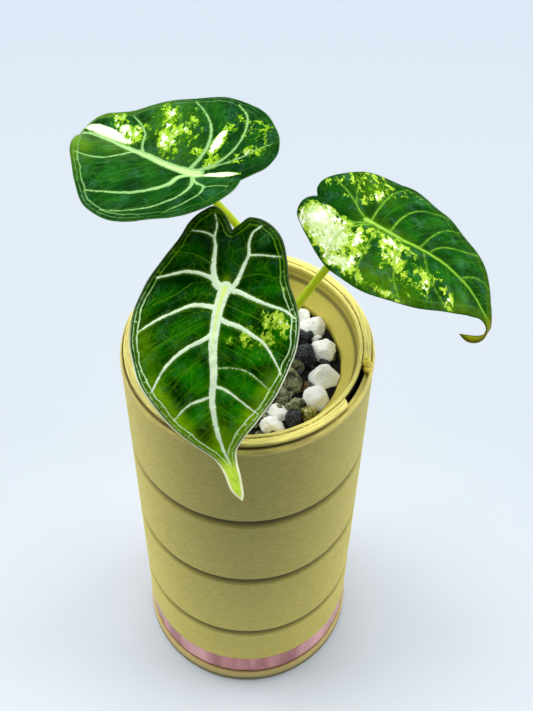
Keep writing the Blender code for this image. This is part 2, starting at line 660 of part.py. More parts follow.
def main():
    """Build every piece of the potted plant."""
    clear_scene()
    parts = make_collection(OBJECT_NAME)
    cutters = make_collection("cutters")
    khaki = make_material("khaki_print", (0.33, 0.27, 0.09), 0.55)
    rose = make_material("rose_foil", (0.42, 0.16, 0.17), 0.3, 0.6)
    grit = make_material("mineral_grains", (0.28, 0.27, 0.24), 0.9)
    corm = make_material("crown_skin", (0.24, 0.17, 0.08), 0.8)
    stalk = make_material("stalk_green", (0.35, 0.52, 0.05), 0.45)
    leafy = make_material("velvet_green", (0.02, 0.12, 0.02), 0.6)
    build_outer_pot(parts, khaki)
    build_rose_band(parts, rose)
    build_cup(parts, cutters, khaki)
    build_bed(parts, cutters, grit)
    build_crown(parts, cutters, corm)
    for leaf in LEAVES:
        build_petiole(leaf, parts, stalk)
        build_blade(leaf, parts, leafy)


main()
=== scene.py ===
"""Looks of the potted alocasia: leaves, stalks, grains, cup and planter, with light and camera.

Lengths are in millimetres and are turned into metres by MM. The frame is that of
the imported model: +Z up along the pot's axis, and the drip tip of the front leaf
towards -Y.
"""

import logging
import math
from collections.abc import Callable, Sequence
from dataclasses import dataclass, field
from enum import Enum

import bmesh
import bpy
import numpy as np
from mathutils import Matrix, Vector


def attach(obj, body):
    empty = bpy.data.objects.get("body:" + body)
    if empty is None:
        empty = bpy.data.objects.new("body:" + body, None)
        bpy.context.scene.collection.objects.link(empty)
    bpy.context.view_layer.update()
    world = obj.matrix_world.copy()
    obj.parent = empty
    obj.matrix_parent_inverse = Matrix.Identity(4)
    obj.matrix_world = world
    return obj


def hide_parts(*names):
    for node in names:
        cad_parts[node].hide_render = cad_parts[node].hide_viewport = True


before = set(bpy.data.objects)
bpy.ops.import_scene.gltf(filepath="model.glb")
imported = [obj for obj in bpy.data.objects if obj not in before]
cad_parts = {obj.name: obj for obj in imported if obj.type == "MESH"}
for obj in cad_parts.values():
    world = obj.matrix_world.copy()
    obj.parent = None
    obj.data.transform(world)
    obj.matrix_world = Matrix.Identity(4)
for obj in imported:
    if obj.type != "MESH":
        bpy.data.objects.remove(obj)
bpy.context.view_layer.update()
LOG = logging.getLogger("alocasia")
BODY = "root"
MM = 0.001
# Flat millimetres in one unit of a leaf's UV map
UV_MM = 100.0
# Distance of a point that lies near no vein
FAR = 99.0
# How early a vein thins out on its way to its end
TAPER = 0.62
# Point and segment pairs that are measured at once
PAIRS_AT_ONCE = 3_000_000
# Points of the arc at a profile's corner, and the share of a short run that it may take
ARC_POINTS = 5
ARC_SHARE = 0.42
# Factors that turn the corner of a noise cell, and the seed, into a number that looks random
CORNER_FACTORS = np.array([127.1, 311.7, 74.7])
SEED_FACTOR = 19.19
SCRAMBLE = 43758.5453
# Stretch of a midrib that is added up, and the number of points on it
RUN = (-40.0, 90.0)
RUN_STEPS = 521
# Steepest rise of a midrib, as a slope in degrees
STEEPEST_RISE = -60.0
# How far behind its joint a blade takes on the fold of its back lobes
BACK_REACH = 12.0
# Middle of the crown in plan and the height of its top
CROWN_AT = (0.6, 1.0)
CROWN_TOP = 192.5
Array = np.ndarray
# Red, green and blue on the screen, 0 to 255
Colour = tuple[int, int, int]
Socket = bpy.types.NodeSocket
Points = Sequence[tuple[float, float]]
Pair = tuple[Array, Array]
# Turns the radius, height and angle of a turned piece's points into their new radius and height
Bend = Callable[[Array, Array, Array], Pair]


def linear(red: int, green: int, blue: int) -> tuple[float, ...]:
    """Turn a screen colour of 0 to 255 into a linear one.

    Args:
        red, green, blue: the screen colour.

    Returns:
        The linear colour, 0 to 1.
    """
    share = [value / 255.0 for value in (red, green, blue)]
    return tuple(s / 12.92 if s <= 0.04045 else ((s + 0.055) / 1.055) ** 2.4 for s in share)


class Value:
    """A number, vector or colour that a node gives; arithmetic with it adds nodes."""

    def __init__(self, graph: "Graph", socket: Socket) -> None:
        """Keep the node's output and the graph that it belongs to."""
        self.graph, self.socket = graph, socket

    def __add__(self, other: object) -> "Value":
        """Sum of this and another number."""
        return self.graph.math("ADD", self, other)

    def __radd__(self, other: float) -> "Value":
        """Sum of a plain number and this."""
        return self.graph.math("ADD", other, self)

    def __sub__(self, other: object) -> "Value":
        """This less another number."""
        return self.graph.math("SUBTRACT", self, other)

    def __rsub__(self, other: float) -> "Value":
        """A plain number less this."""
        return self.graph.math("SUBTRACT", other, self)

    def __mul__(self, other: object) -> "Value":
        """Product of this and another number."""
        return self.graph.math("MULTIPLY", self, other)

    def __truediv__(self, other: object) -> "Value":
        """This divided by another number."""
        return self.graph.math("DIVIDE", self, other)

    def __abs__(self) -> "Value":
        """Size of this number without its sign."""
        return self.graph.math("ABSOLUTE", self)


class Graph:
    """A material's node tree, with a short call for each kind of node used here."""

    def __init__(self, name: str) -> None:
        """Start a material with its Principled shader.

        Args:
            name: the material's name.
        """
        self.material = bpy.data.materials.new(name)
        self.material.use_nodes = True
        self.tree = self.material.node_tree
        self.shader = self.tree.nodes["Principled BSDF"]

    def feed(self, target: Socket, value: object) -> None:
        """Give a node's input its value.

        Args:
            target: the input.
            value: an output to link to it, or a number, a vector or a screen colour.
        """
        if isinstance(value, Value):
            self.tree.links.new(value.socket, target)
        elif isinstance(value, tuple) and target.type == "RGBA":
            target.default_value = (*linear(*value), 1.0)
        else:
            target.default_value = value

    def node(self, kind: str, output: str | int, inputs: dict[str | int, object] | None = None,
             **settings: object) -> Value:
        """Add a node.

        Args:
            kind: its type, without the prefix that all shader nodes share.
            output: the name or number of the output that is wanted.
            inputs: values for its inputs, by name or number.
            **settings: values for the node's own settings.

        Returns:
            The output.
        """
        node = self.tree.nodes.new(f"ShaderNode{kind}")
        for name, value in settings.items():
            setattr(node, name, value)
        for key, value in (inputs or {}).items():
            self.feed(node.inputs[key], value)
        return Value(self, node.outputs[output])

    def finish(self, **inputs: object) -> bpy.types.Material:
        """Set inputs of the Principled shader, named with _ for each space, and give the material."""
        for name, value in inputs.items():
            self.feed(self.shader.inputs[name.replace("_", " ")], value)
        return self.material

    def place(self) -> Value:
        """Object coordinates, in metres."""
        return self.node("TexCoord", "Object")

    def flat(self) -> Value:
        """The piece's own UV map."""
        return self.node("TexCoord", "UV")

    def attribute(self, name: str) -> Value:
        """A number stored on the piece's points."""
        return self.node("Attribute", "Fac", attribute_name=name)

    def stretch(self, where: Value, scale: tuple[float, float, float]) -> Value:
        """Scale coordinates by a factor along each axis."""
        return self.node("Mapping", "Vector", {"Vector": where, "Scale": scale})

    def math(self, operation: str, first: object, second: object = 0.0, clamp: bool = False) -> Value:
        """One step of arithmetic, kept between 0 and 1 if `clamp`."""
        return self.node("Math", 0, {0: first, 1: second}, operation=operation, use_clamp=clamp)

    def most(self, first: object, second: object) -> Value:
        """The larger of two numbers."""
        return self.math("MAXIMUM", first, second)

    def length(self, x: Value, y: Value) -> Value:
        """Length of a flat vector."""
        return self.math("SQRT", x * x + y * y)

    def ease(self, value: Value, low: object, high: object) -> Value:
        """Smooth step: 0 below `low`, 1 above `high`."""
        return self.node("MapRange", "Result", {"Value": value, "From Min": low, "From Max": high},
                         interpolation_type="SMOOTHSTEP")

    def fall(self, value: Value, low: object, high: object) -> Value:
        """Smooth step down: 1 below `low`, 0 above `high`."""
        return 1.0 - self.ease(value, low, high)

    def line(self, value: Value, at: float, core: float, rim: float) -> Value:
        """1 where a number is within `core` of `at`, 0 farther off than `rim`."""
        return self.fall(abs(value - at), core, rim)

    def mix(self, share: object, first: object, second: object, blend: str = "MIX") -> Value:
        """Blend of two colours."""
        return self.node("Mix", 2, {0: share, 6: first, 7: second}, data_type="RGBA", blend_type=blend)

    def dim(self, tone: object, factor: Value) -> Value:
        """A colour times a number."""
        return self.mix(1.0, tone, self.vector(factor, factor, factor), "MULTIPLY")

    def parts(self, vector: Value) -> tuple[Value, Value, Value]:
        """Take a vector apart.

        Args:
            vector: the vector.

        Returns:
            Its X, Y and Z.
        """
        node = self.tree.nodes.new("ShaderNodeSeparateXYZ")
        self.feed(node.inputs[0], vector)
        return tuple(Value(self, output) for output in node.outputs)

    def vector(self, x: object, y: object, z: object = 0.0) -> Value:
        """A vector from its three numbers."""
        return self.node("CombineXYZ", 0, {0: x, 1: y, 2: z})

    def noise(self, where: Value, scale: float, detail: float = 2.0, rough: float = 0.5,
              bend: float = 0.0) -> Value:
        """Soft noise.

        Args:
            where: coordinates.
            scale: how many waves fit in a unit of them.
            detail: number of finer layers.
            rough: strength of each layer beside the last.
            bend: how far the noise is drawn out of shape.

        Returns:
            The noise, 0 to 1.
        """
        return self.node("TexNoise", "Fac", {"Vector": where, "Scale": scale, "Detail": detail,
                                             "Roughness": rough, "Distortion": bend})

    def cells(self, where: Value, scale: float, feature: str = "F1") -> Value:
        """Distance in a cell pattern: to the nearest centre or to the nearest border."""
        return self.node("TexVoronoi", "Distance", {"Vector": where, "Scale": scale}, feature=feature)

    def borders(self, where: Value, scale: float) -> Value:
        """Distance to the nearest border of a cell pattern."""
        return self.cells(where, scale, "DISTANCE_TO_EDGE")

    def chance(self, where: Value, scale: float) -> Value:
        """A random number, 0 to 1, for each cell of a cell pattern."""
        return self.parts(self.node("TexVoronoi", "Color", {"Vector": where, "Scale": scale}))[0]

    def bump(self, height: Value, depth: float) -> Value:
        """Normal from a height of 0 to 1, `depth` millimetres deep."""
        return self.node("Bump", "Normal", {"Distance": depth * MM, "Height": height})


@dataclass(frozen=True)
class PrintedPlastic:
    """Matt plastic laid down in fine layers: grainy on the wall, streaky on the rim.

    Heights, radii and widths are in millimetres. Above `painted_lit_rim_from`
    the plastic has the lighter tone of the rim, painted light from above, with
    printed streaks, and painted lighter still on the side of +X; below `foot` it
    has the tan of the foot. Between the two radii of `deep` and below its height
    it is painted in deep shade. `rings` are lines of painted shade round the
    funnel, each with its height, half width and strength. `creases` are corners
    with painted shade, each with its radius, height and reach; the painted shade
    fades on the side of +X, where the rim is lit. Each groove has painted shade
    under its lip, a painted highlight on the lip and a faint painted highlight
    where the groove ends. `seam` is the radius of a beaded line on the rim that
    stops short of a gap at the turn `gap_middle`, in degrees. One printed layer
    is `layer` high.
    """

    name: str
    base: Colour
    painted_lit_rim: Colour
    painted_lit_rim_from: float
    deep: tuple[float, float, float] = (0.0, 0.0, 0.0)
    contrast: float = 0.4
    grooves: tuple[float, ...] = ()
    rings: tuple[tuple[float, float, float], ...] = ()
    creases: tuple[tuple[float, float, float], ...] = ()
    seam: float = 0.0
    gap_middle: float = 0.0
    foot: float = -1.0
    layer: float = 0.42

    def paint_groove_shade(self, graph: Graph, height: Value, tone: Value) -> Value:
        """Painted shade in each groove under its lip, a painted highlight on the lip, and a faint painted
        highlight where the groove ends.

        Args:
            graph: the material's nodes.
            height: height above the base in millimetres.
            tone: colour so far.

        Returns:
            The colour.
        """
        for lip in self.grooves:
            drop = lip - height
            painted_groove_shade = graph.ease(drop, 0.2, 0.6) * graph.fall(drop, 2.5, 6.4)
            # Painted shade under the lip, a painted highlight on the lip, and a faint painted highlight
            # at the groove's end.
            tone = graph.mix(painted_groove_shade * 0.88, tone, (62, 54, 0))
            tone = graph.mix(graph.line(drop, -0.1, 0.15, 0.5) * 0.6, tone, (252, 244, 170))
            tone = graph.mix(graph.line(drop, 6.1, 0.1, 0.6) * 0.3, tone, (206, 196, 120))
        return tone

    def make(self) -> bpy.types.Material:
        """Build the material.

        Returns:
            The material.
        """
        graph = Graph(self.name)
        place = graph.place()
        x, y, z = graph.parts(place)
        out = graph.length(x, y)
        height, reach = z * (1.0 / MM), out * (1.0 / MM)
        fine = graph.noise(graph.stretch(place, (1.0, 1.0, 2.6)), 1250.0, 3.0, 0.7)
        long = graph.noise(graph.stretch(place, (1.0, 1.0, 7.0)), 300.0, 3.0, 0.62)
        grain = fine * 0.5 + long * 0.5
        lane = reach * 3.0 + height * 2.2
        round_pot = [value / out * 5.0 for value in (x, y)]
        streak = graph.noise(graph.vector(*round_pot, lane), 1.0, 3.0, 0.6)
        wall = 1.0 - 0.5 * self.contrast + graph.ease(grain, 0.34, 0.66) * self.contrast
        tone = self.paint_groove_shade(graph, height, graph.dim(self.base, wall))
        # Painted shade in lines round the funnel.
        for at, width, share in self.rings:
            ring = graph.line(height, at, 0.15, width) * graph.fall(reach, 41.1, 41.4)
            tone = graph.mix(ring * share, tone, (96, 90, 26))
        tone = graph.mix(graph.fall(height, self.foot, self.foot + 0.3), tone, (196, 174, 104))
        tone = graph.mix(graph.fall(height, self.foot - 5.6, self.foot - 2.8) * 0.75, tone, (74, 78, 22))
        # Painted light from above: the rim takes a lighter tone with printed streaks, and is painted
        # lighter still on the side of +X.
        painted_lit_rim = graph.ease(height, self.painted_lit_rim_from - 0.3, self.painted_lit_rim_from)
        side = 0.88 + graph.ease(x, -0.03, 0.03) * 0.3
        lit = side * (0.7 + graph.ease(streak, 0.3, 0.7) * 0.5)
        tone = graph.mix(painted_lit_rim, tone, graph.dim(self.painted_lit_rim, lit))
        # Painted shade in the corners, weaker on the side of +X, where the rim is lit.
        facing = x * 0.99 + y * -0.14
        shut = 1.0 - graph.ease(facing, 0.024, 0.041) * 0.75
        for radius, level, size in self.creases:
            off = graph.length(reach - radius, height - level)
            shade = graph.fall(off, 0.25 * size, size) * 0.85
            tone = graph.mix(shade * shut, tone, (58, 50, 6))
        if self.seam:
            turn = abs(graph.math("ARCTAN2", y, x) - math.radians(self.gap_middle))
            beads = 0.35 + graph.ease(graph.noise(place, 700.0), 0.4, 0.6) * 0.65
            seam = graph.line(reach, self.seam, 0.08, 0.34) * graph.ease(turn, 0.19, 0.21)
            seam = seam * beads * graph.ease(height, 199.0, 199.6)
            tone = graph.mix(seam * 0.85, tone, (112, 78, 8))
        # Painted deep shade between the two radii, below the given height.
        low, high, top = self.deep
        deep = graph.ease(reach, low - 0.2, low) * graph.fall(reach, high, high + 0.3)
        deep = deep * graph.fall(height, top - 0.8, top)
        tone = graph.mix(deep * 0.98, tone, (12, 11, 6))
        layers = graph.math("SINE", z * (2.0 * math.pi / (self.layer * MM)))
        rough = grain * (4.6 * self.contrast) + layers * 0.12
        rough = rough * (1.0 - painted_lit_rim) + streak * painted_lit_rim * 1.2
        return graph.finish(Base_Color=tone, Roughness=0.5, Normal=graph.bump(rough, 0.3),
                            Specular_IOR_Level=0.36)


@dataclass(frozen=True)
class RoseFoil:
    """Satin rose film: painted highlights and shade along upright wrinkles, painted reflections of the
    lamps, a dark lower edge.
    """

    name: str = "rose_foil"
    base: Colour = (212, 136, 138)
    dark: Colour = (166, 92, 94)
    light: Colour = (252, 186, 188)

    def make(self) -> bpy.types.Material:
        """Build the material.

        Returns:
            The material.
        """
        graph = Graph(self.name)
        place = graph.place()
        x, y, z = graph.parts(place)
        turn = graph.math("ARCTAN2", x, y * -1.0)
        streak = graph.noise(graph.stretch(place, (1.0, 1.0, 0.1)), 110.0, 3.0, 0.5)
        broad = graph.noise(graph.stretch(place, (1.0, 1.0, 0.16)), 40.0, 2.0, 0.5, 0.6)
        # Light and dark streaks along the wrinkles and light patches: painted highlights and shade.
        tone = graph.mix(graph.ease(streak, 0.35, 0.65), self.dark, self.base)
        tone = graph.mix(graph.ease(broad, 0.55, 0.66) * 0.5, tone, self.light)
        # Painted reflections of the lamps at four turns round the band.
        for at in (-0.56, 0.7, 2.4, -2.3):
            sheen = graph.line(turn, at, 0.04, 0.26) * (0.2 + streak)
            tone = graph.mix(sheen, tone, self.light)
        tone = graph.mix(graph.fall(z, 0.0088, 0.0104) * 0.9, tone, (90, 30, 26))
        return graph.finish(Base_Color=tone, Metallic=0.35, Roughness=0.22,
                            Normal=graph.bump(streak, 0.5))


class GrainKind(Enum):
    """Kinds of grain in the bed, with their light, dark and speck colours."""

    PUMICE = ((254, 253, 251), (236, 235, 232), (255, 255, 255))
    LAVA = ((30, 32, 40), (3, 3, 5), (120, 124, 134))
    ZEOLITE = ((140, 142, 106), (40, 46, 20), (196, 196, 158))
    CLAY = ((164, 158, 50), (100, 96, 20), (240, 238, 186))
    BARK = ((120, 92, 50), (40, 30, 14), (170, 150, 100))


@dataclass(frozen=True)
class Mineral:
    """Porous grain: pale and dark grit, pits and pores, and small light specks."""

    kind: GrainKind

    def make(self) -> bpy.types.Material:
        """Build the material.

        Returns:
            The material.
        """
        light, dark, speck = self.kind.value
        soft = self.kind is GrainKind.PUMICE
        graph = Graph(f"{self.kind.name.lower()}_grain")
        place = graph.place()
        grit = graph.noise(place, 900.0, 4.0, 0.7)
        patch = graph.noise(place, 260.0, 3.0, 0.6)
        pores = graph.ease(graph.cells(place, 620.0 if soft else 1000.0), 0.12, 0.42)
        tone = graph.mix(graph.ease(patch, 0.34, 0.66), dark, light)
        tone = graph.mix((1.0 - pores) * (0.12 if soft else 0.7), tone, dark)
        sharp = graph.noise(place, 1500.0, 2.0, 0.6, 0.8)
        spots = graph.ease(sharp, 0.56, 0.68) * graph.ease(patch, 0.36, 0.56)
        tone = graph.mix(spots * 0.55, tone, speck)
        if not soft:
            ridge = graph.fall(graph.borders(place, 760.0), 0.03, 0.2)
            tone = graph.mix(ridge * graph.ease(patch, 0.42, 0.6) * 0.45, tone, speck)
        if self.kind is GrainKind.CLAY:
            blots = graph.fall(graph.cells(place, 560.0), 0.22, 0.4)
            tone = graph.mix(blots * 0.75, tone, speck)
        normal = graph.bump(pores + grit, 0.18 if soft else 0.5)
        # Pumice glows a little: painted light.
        return graph.finish(Base_Color=tone, Roughness=0.85 if soft else 0.6, Normal=normal,
                            Specular_IOR_Level=0.3, Emission_Color=tone,
                            Emission_Strength=0.1 if soft else 0.0)


@dataclass(frozen=True)
class BedShade:
    """Near-black grit between the grains: painted shade in the gaps between them."""

    name: str = "bed_grit"

    def make(self) -> bpy.types.Material:
        """Build the material.

        Returns:
            The material.
        """
        graph = Graph(self.name)
        place = graph.place()
        grit = graph.noise(place, 700.0, 4.0, 0.7)
        tone = graph.mix(graph.ease(grit, 0.4, 0.8), (3, 3, 3), (34, 30, 25))
        return graph.finish(Base_Color=tone, Roughness=0.9, Normal=graph.bump(grit, 0.8))


@dataclass(frozen=True)
class StalkSkin:
    """Satin yellow-green stalk with fine lengthwise stripes."""

    name: str = "stalk_green"
    base: Colour = (200, 218, 34)
    deep: Colour = (168, 194, 8)
    pale: Colour = (226, 234, 130)

    def make(self) -> bpy.types.Material:
        """Build the material.

        Returns:
            The material.
        """
        graph = Graph(self.name)
        flat = graph.flat()
        _, along, _ = graph.parts(flat)
        fibre = graph.noise(graph.stretch(flat, (26.0, 1.2, 1.0)), 3.0, 3.0, 0.6)
        mottle = graph.noise(graph.stretch(flat, (4.0, 9.0, 1.0)), 4.0, 3.0, 0.6)
        tone = graph.mix(graph.ease(fibre, 0.35, 0.7), self.deep, self.base)
        # Pale patches: painted highlights.
        tone = graph.mix(graph.ease(mottle, 0.5, 0.75) * 0.5, tone, self.pale)
        foot = graph.fall(along, 0.0, 0.16)
        tone = graph.mix(foot * 0.7, tone, (150, 120, 70))
        # The stalk glows a little: painted light.
        return graph.finish(Base_Color=tone, Roughness=0.4, Normal=graph.bump(fibre, 0.08),
                            Specular_IOR_Level=0.2, Emission_Color=tone, Emission_Strength=0.3)


@dataclass(frozen=True)
class CrownSkin:
    """Brown papery crown with green showing through."""

    name: str = "crown_skin"

    def make(self) -> bpy.types.Material:
        """Build the material.

        Returns:
            The material.
        """
        graph = Graph(self.name)
        place = graph.place()
        fibre = graph.noise(graph.stretch(place, (1.0, 1.0, 0.2)), 900.0, 4.0, 0.65)
        patch = graph.noise(place, 220.0, 3.0, 0.6)
        tone = graph.mix(graph.ease(fibre, 0.35, 0.7), (74, 52, 28), (150, 118, 66))
        tone = graph.mix(graph.ease(patch, 0.5, 0.66) * 0.7, tone, (120, 132, 52))
        return graph.finish(Base_Color=tone, Roughness=0.75, Normal=graph.bump(fibre, 0.4))


@dataclass(frozen=True)
class LeafPalette:
    """Colours and strengths of one leaf's skin.

    The upper face is dark green, lighter between the veins, with pale veins, a
    fine net, a double vein along the margin, and a mosaic of yellow-green and
    cream cells where the point number `pale` is high. Patches of painted sheen
    lie over the green, and the blade glows a little, the tip more: painted light.
    The underside is a dull pale green. The veins turn from `vein` to `core` at
    `core_depth` millimetres inside them. The mosaic is drawn out at the turn
    `streak_turn`, in degrees, and gets cream where it exceeds `cream_from`;
    `wide_share` is the strength of wide cream areas. The hem along the margin is
    `hem_width` millimetres wide and sets in over `hem_from`, along the midrib.
    """

    name: str
    dark: Colour
    mid: Colour
    net: Colour
    vein: Colour
    core: Colour
    core_depth: float
    margin: Colour
    hem: Colour = (206, 222, 160)
    glow: Colour = (132, 178, 0)
    fleck: Colour = (84, 140, 6)
    splash: Colour = (172, 204, 60)
    cream: Colour = (244, 248, 224)
    tip: Colour = (164, 206, 30)
    tip_side: Colour = (240, 248, 186)
    under: Colour = (96, 134, 60)
    painted_sheen: Colour = (70, 128, 84)
    painted_sheen_share: float = 0.3
    net_share: float = 0.5
    margin_share: float = 0.9
    cream_from: float = 0.2
    gloss: float = 0.02
    streak_turn: float = 0.0
    hem_from: tuple[float, float] = (-30.0, -20.0)
    hem_width: float = 0.42
    wide_share: float = 0.0

    def lamina(self, graph: Graph, flat: Value, soft: Value) -> Value:
        """Green between the veins, with soft glows, painted patches of sheen and the fine net.

        Args:
            graph: the material's nodes.
            flat: flat coordinates in millimetres.
            soft: slow noise.

        Returns:
            The colour.
        """
        away = graph.ease(graph.attribute("vein"), -0.5, 5.5)
        share = away * 0.5 + graph.attribute("light")
        share = graph.math("MULTIPLY", share, graph.ease(soft, 0.32, 0.62), clamp=True)
        inland = 0.3 + graph.ease(graph.attribute("edge"), 1.4, 5.0) * 0.7
        tone = graph.mix(share * inland, self.dark, self.mid)
        # Yellow-green glow, partly the leaf's own colour and partly painted light shining through the
        # blade.
        glow = graph.attribute("glow") * graph.ease(soft, 0.2, 0.6)
        tone = graph.mix(glow, tone, self.glow)
        # Painted sheen in patches.
        patch = graph.ease(graph.noise(flat, 0.15, 3.0, 0.6), 0.5, 0.68)
        speckle = graph.ease(graph.noise(flat, 1.4, 3.0, 0.7), 0.36, 0.62)
        tone = graph.mix(patch * speckle * self.painted_sheen_share, tone, self.painted_sheen)
        x, v, _ = graph.parts(flat)
        aside = abs(v)
        rank = x - aside * 0.7
        rays = graph.noise(graph.vector(rank * 0.6, aside * 0.07), 1.0, 3.0, 0.6)
        rays = graph.ease(rays, 0.48, 0.66) * (graph.ease(x, -2.0, 14.0) * 0.2)
        tone = graph.mix(rays, tone, self.net)
        wander = graph.noise(flat, 0.3, 2.0, 0.5)
        bent = graph.vector(x + wander * 3.2, v + soft * 4.0)
        wide = graph.fall(graph.borders(bent, 0.17), 0.01, 0.035)
        fine = graph.fall(graph.borders(bent, 0.5), 0.01, 0.07)
        thin = graph.fall(graph.attribute("thin"), 0.02, 0.24)
        net = graph.most(wide * 0.5, fine * 0.26)
        net = graph.most(net * graph.ease(graph.noise(flat, 0.09), 0.34, 0.6), thin)
        return graph.mix(net * self.net_share, tone, self.net)

    def splashes(self, graph: Graph, flat: Value, tone: Value) -> Value:
        """Mosaic of yellow-green and cream cells, drawn out along the side veins.

        Each cell of three sizes draws a random number; where the numbers together
        stay below the patch strength, the cell turns light green, farther below it
        yellow-green, and well below it cream.

        Args:
            graph: the material's nodes.
            flat: flat coordinates in millimetres.
            tone: colour so far.

        Returns:
            The colour.
        """
        pale = graph.attribute("pale")
        x, v, _ = graph.parts(flat)
        bent = graph.vector(x + graph.noise(flat, 0.55, 3.0, 0.6) * 3.4,
                            v + graph.noise(flat, 0.47, 3.0, 0.6) * 3.4)
        bent_x, bent_v, _ = graph.parts(bent)
        ahead, aside = math.cos(math.radians(self.streak_turn)), math.sin(math.radians(self.streak_turn))
        along = bent_x * ahead + bent_v * aside
        across = bent_v * ahead - bent_x * aside
        drawn = graph.vector(along * 0.58, across)
        large, middle, small = (graph.chance(drawn, scale) for scale in (0.3, 0.8, 1.9))
        odds = large * 0.32 + middle * 0.54 + small * 0.28
        mottle = (graph.noise(flat, 1.6, 3.0, 0.6) - 0.5) * 0.26
        level = pale + mottle - odds - 0.06
        tone = graph.mix(graph.ease(level, -0.05, 0.0), tone, self.fleck)
        tone = graph.mix(graph.ease(level, 0.03, 0.12), tone, self.splash)
        tone = graph.mix(graph.ease(level, self.cream_from, self.cream_from + 0.14), tone, self.cream)
        uneven = pale + (graph.noise(flat, 0.4, 3.0, 0.6) - 0.5) * 0.9
        wide = graph.mix(graph.ease(uneven, 0.95, 1.4), (180, 210, 108), self.cream)
        tone = graph.mix(graph.ease(uneven, 0.9, 1.08) * self.wide_share, tone, wide)
        specks = graph.ease(small, 0.84, 0.88) * graph.line(pale, 0.9, 0.1, 0.35)
        return graph.mix(specks * 0.6, tone, self.fleck)

    def margin_veins(self, graph: Graph, flat: Value) -> Value:
        """The two veins that follow the margin and the bridges between them.

        Args:
            graph: the material's nodes.
            flat: flat coordinates in millimetres.

        Returns:
            1 on these veins, 0 elsewhere.
        """
        edge, along = graph.attribute("edge"), graph.attribute("along")
        wander = graph.noise(flat, 0.16, 2.0, 0.5)
        shift = (wander - 0.5) * 2.2
        rough = (graph.noise(flat, 1.1, 3.0, 0.6) - 0.5) * 0.5
        outside = edge + shift * 0.45 + rough
        inside = edge + shift + rough
        beads = 0.16 + graph.ease(graph.noise(flat, 0.8), 0.36, 0.56) * 0.6
        outer = graph.line(outside, 1.25, 0.06, 0.28) * beads
        main = graph.line(inside, 2.7, 0.1, 0.34)
        turn = along * 0.23 + wander * 3.0
        bridge = graph.line(graph.math("FRACT", turn), 0.5, 0.02, 0.07)
        between = graph.ease(outside, 1.1, 1.3) * graph.fall(inside, 2.5, 2.7)
        bridge = bridge * between * graph.ease(graph.noise(flat, 0.3), 0.46, 0.6)
        return graph.most(graph.most(outer, main), bridge)

    def make(self) -> bpy.types.Material:
        """Build the material.

        Returns:
            The material.
        """
        graph = Graph(self.name)
        x, v, _ = graph.parts(graph.flat())
        flat = graph.vector(x * UV_MM, v * UV_MM)
        vein, edge = graph.attribute("vein"), graph.attribute("edge")
        soft = graph.noise(flat, 0.1, 3.0, 0.55)
        fuzz = graph.noise(flat, 1.9, 4.0, 0.7)
        tone = self.splashes(graph, flat, self.lamina(graph, flat, soft))
        rim = self.margin_veins(graph, flat)
        solid = graph.ease(graph.attribute("pale"), 0.6, 1.1)
        fade = graph.attribute("rim") * self.margin_share * (1.0 - solid)
        along = graph.parts(flat)[0]
        line_tone = graph.mix(graph.ease(along, -8.0, 12.0), self.net, self.margin)
        tone = graph.mix(rim * fade, tone, line_tone)
        knots = (graph.noise(flat, 0.5, 2.0, 0.5) - 0.5) * 0.55
        body = vein + (fuzz - 0.5) + knots
        share = graph.fall(body, -0.16, 0.2)
        halo = graph.fall(vein, -0.2, 1.1) * 0.3
        border = graph.fall(edge, 2.4, 3.4) * fade
        halo = graph.most(halo, border * 0.05)
        tone = graph.mix(halo, tone, self.net)
        shallow = graph.ease(vein, -2.0 * self.core_depth, -self.core_depth)
        bright = graph.mix(shallow, self.core, self.vein)
        bright = graph.mix(graph.ease(fuzz, 0.52, 0.76) * 0.3, bright, self.net)
        bright = graph.mix(solid * 0.6, bright, (208, 228, 140))
        tone = graph.mix(share, tone, bright)
        # Yellow-green along the lower margin, partly painted light shining through the blade.
        low = graph.ease(along, 26.0, 56.0) * graph.fall(edge, 2.2, 3.2)
        tone = graph.mix(low * (1.0 - rim) * (0.5 * self.margin_share), tone, self.glow)
        hem = graph.fall(edge, self.hem_width - 0.3, self.hem_width)
        hem = hem * (0.08 + graph.ease(along, *self.hem_from) * 0.85)
        tone = graph.mix(hem, tone, self.hem)
        below = graph.mix(share * 0.7, self.under, (176, 196, 120))
        tone = graph.mix(graph.attribute("under"), tone, below)
        tip = graph.mix(graph.ease(edge, 0.3, 1.1), self.tip_side, self.tip)
        tip = graph.mix(graph.ease(fuzz, 0.45, 0.7) * 0.4, tip, self.tip_side)
        tone = graph.mix(graph.attribute("tip"), tone, tip)
        small = graph.borders(flat, 0.62)
        height = small * 0.8 + fuzz * 0.25
        # Painted light: the blade glows a little, and its tip more.
        painted_glow = graph.dim(tone, 0.1 + graph.attribute("tip") * 0.9)
        return graph.finish(Base_Color=tone, Roughness=0.3, Normal=graph.bump(height, 0.16),
                            Specular_IOR_Level=self.gloss, Emission_Color=painted_glow, Emission_Strength=0.3)


@dataclass(frozen=True)
class PaleFloor:
    """Pale blue-white floor, painted with light and shade: lightest just in front of the pot, darker
    behind it, and dark towards the side of the camera.
    """

    name: str = "pale_floor"

    def make(self) -> bpy.types.Material:
        """Build the material.

        Returns:
            The material.
        """
        graph = Graph(self.name)
        _, y, _ = graph.parts(graph.place())
        # Painted light and shade on the floor, by how far in front of or behind the pot.
        near = graph.mix(graph.ease(y, -0.26, -0.09), (88, 91, 96), (197, 204, 212))
        tone = graph.mix(graph.ease(y, -0.05, 0.1), near, (174, 181, 189))
        tone = graph.mix(graph.ease(y, 0.26, 0.48), tone, (169, 178, 188))
        return graph.finish(Base_Color=tone, Roughness=0.8)


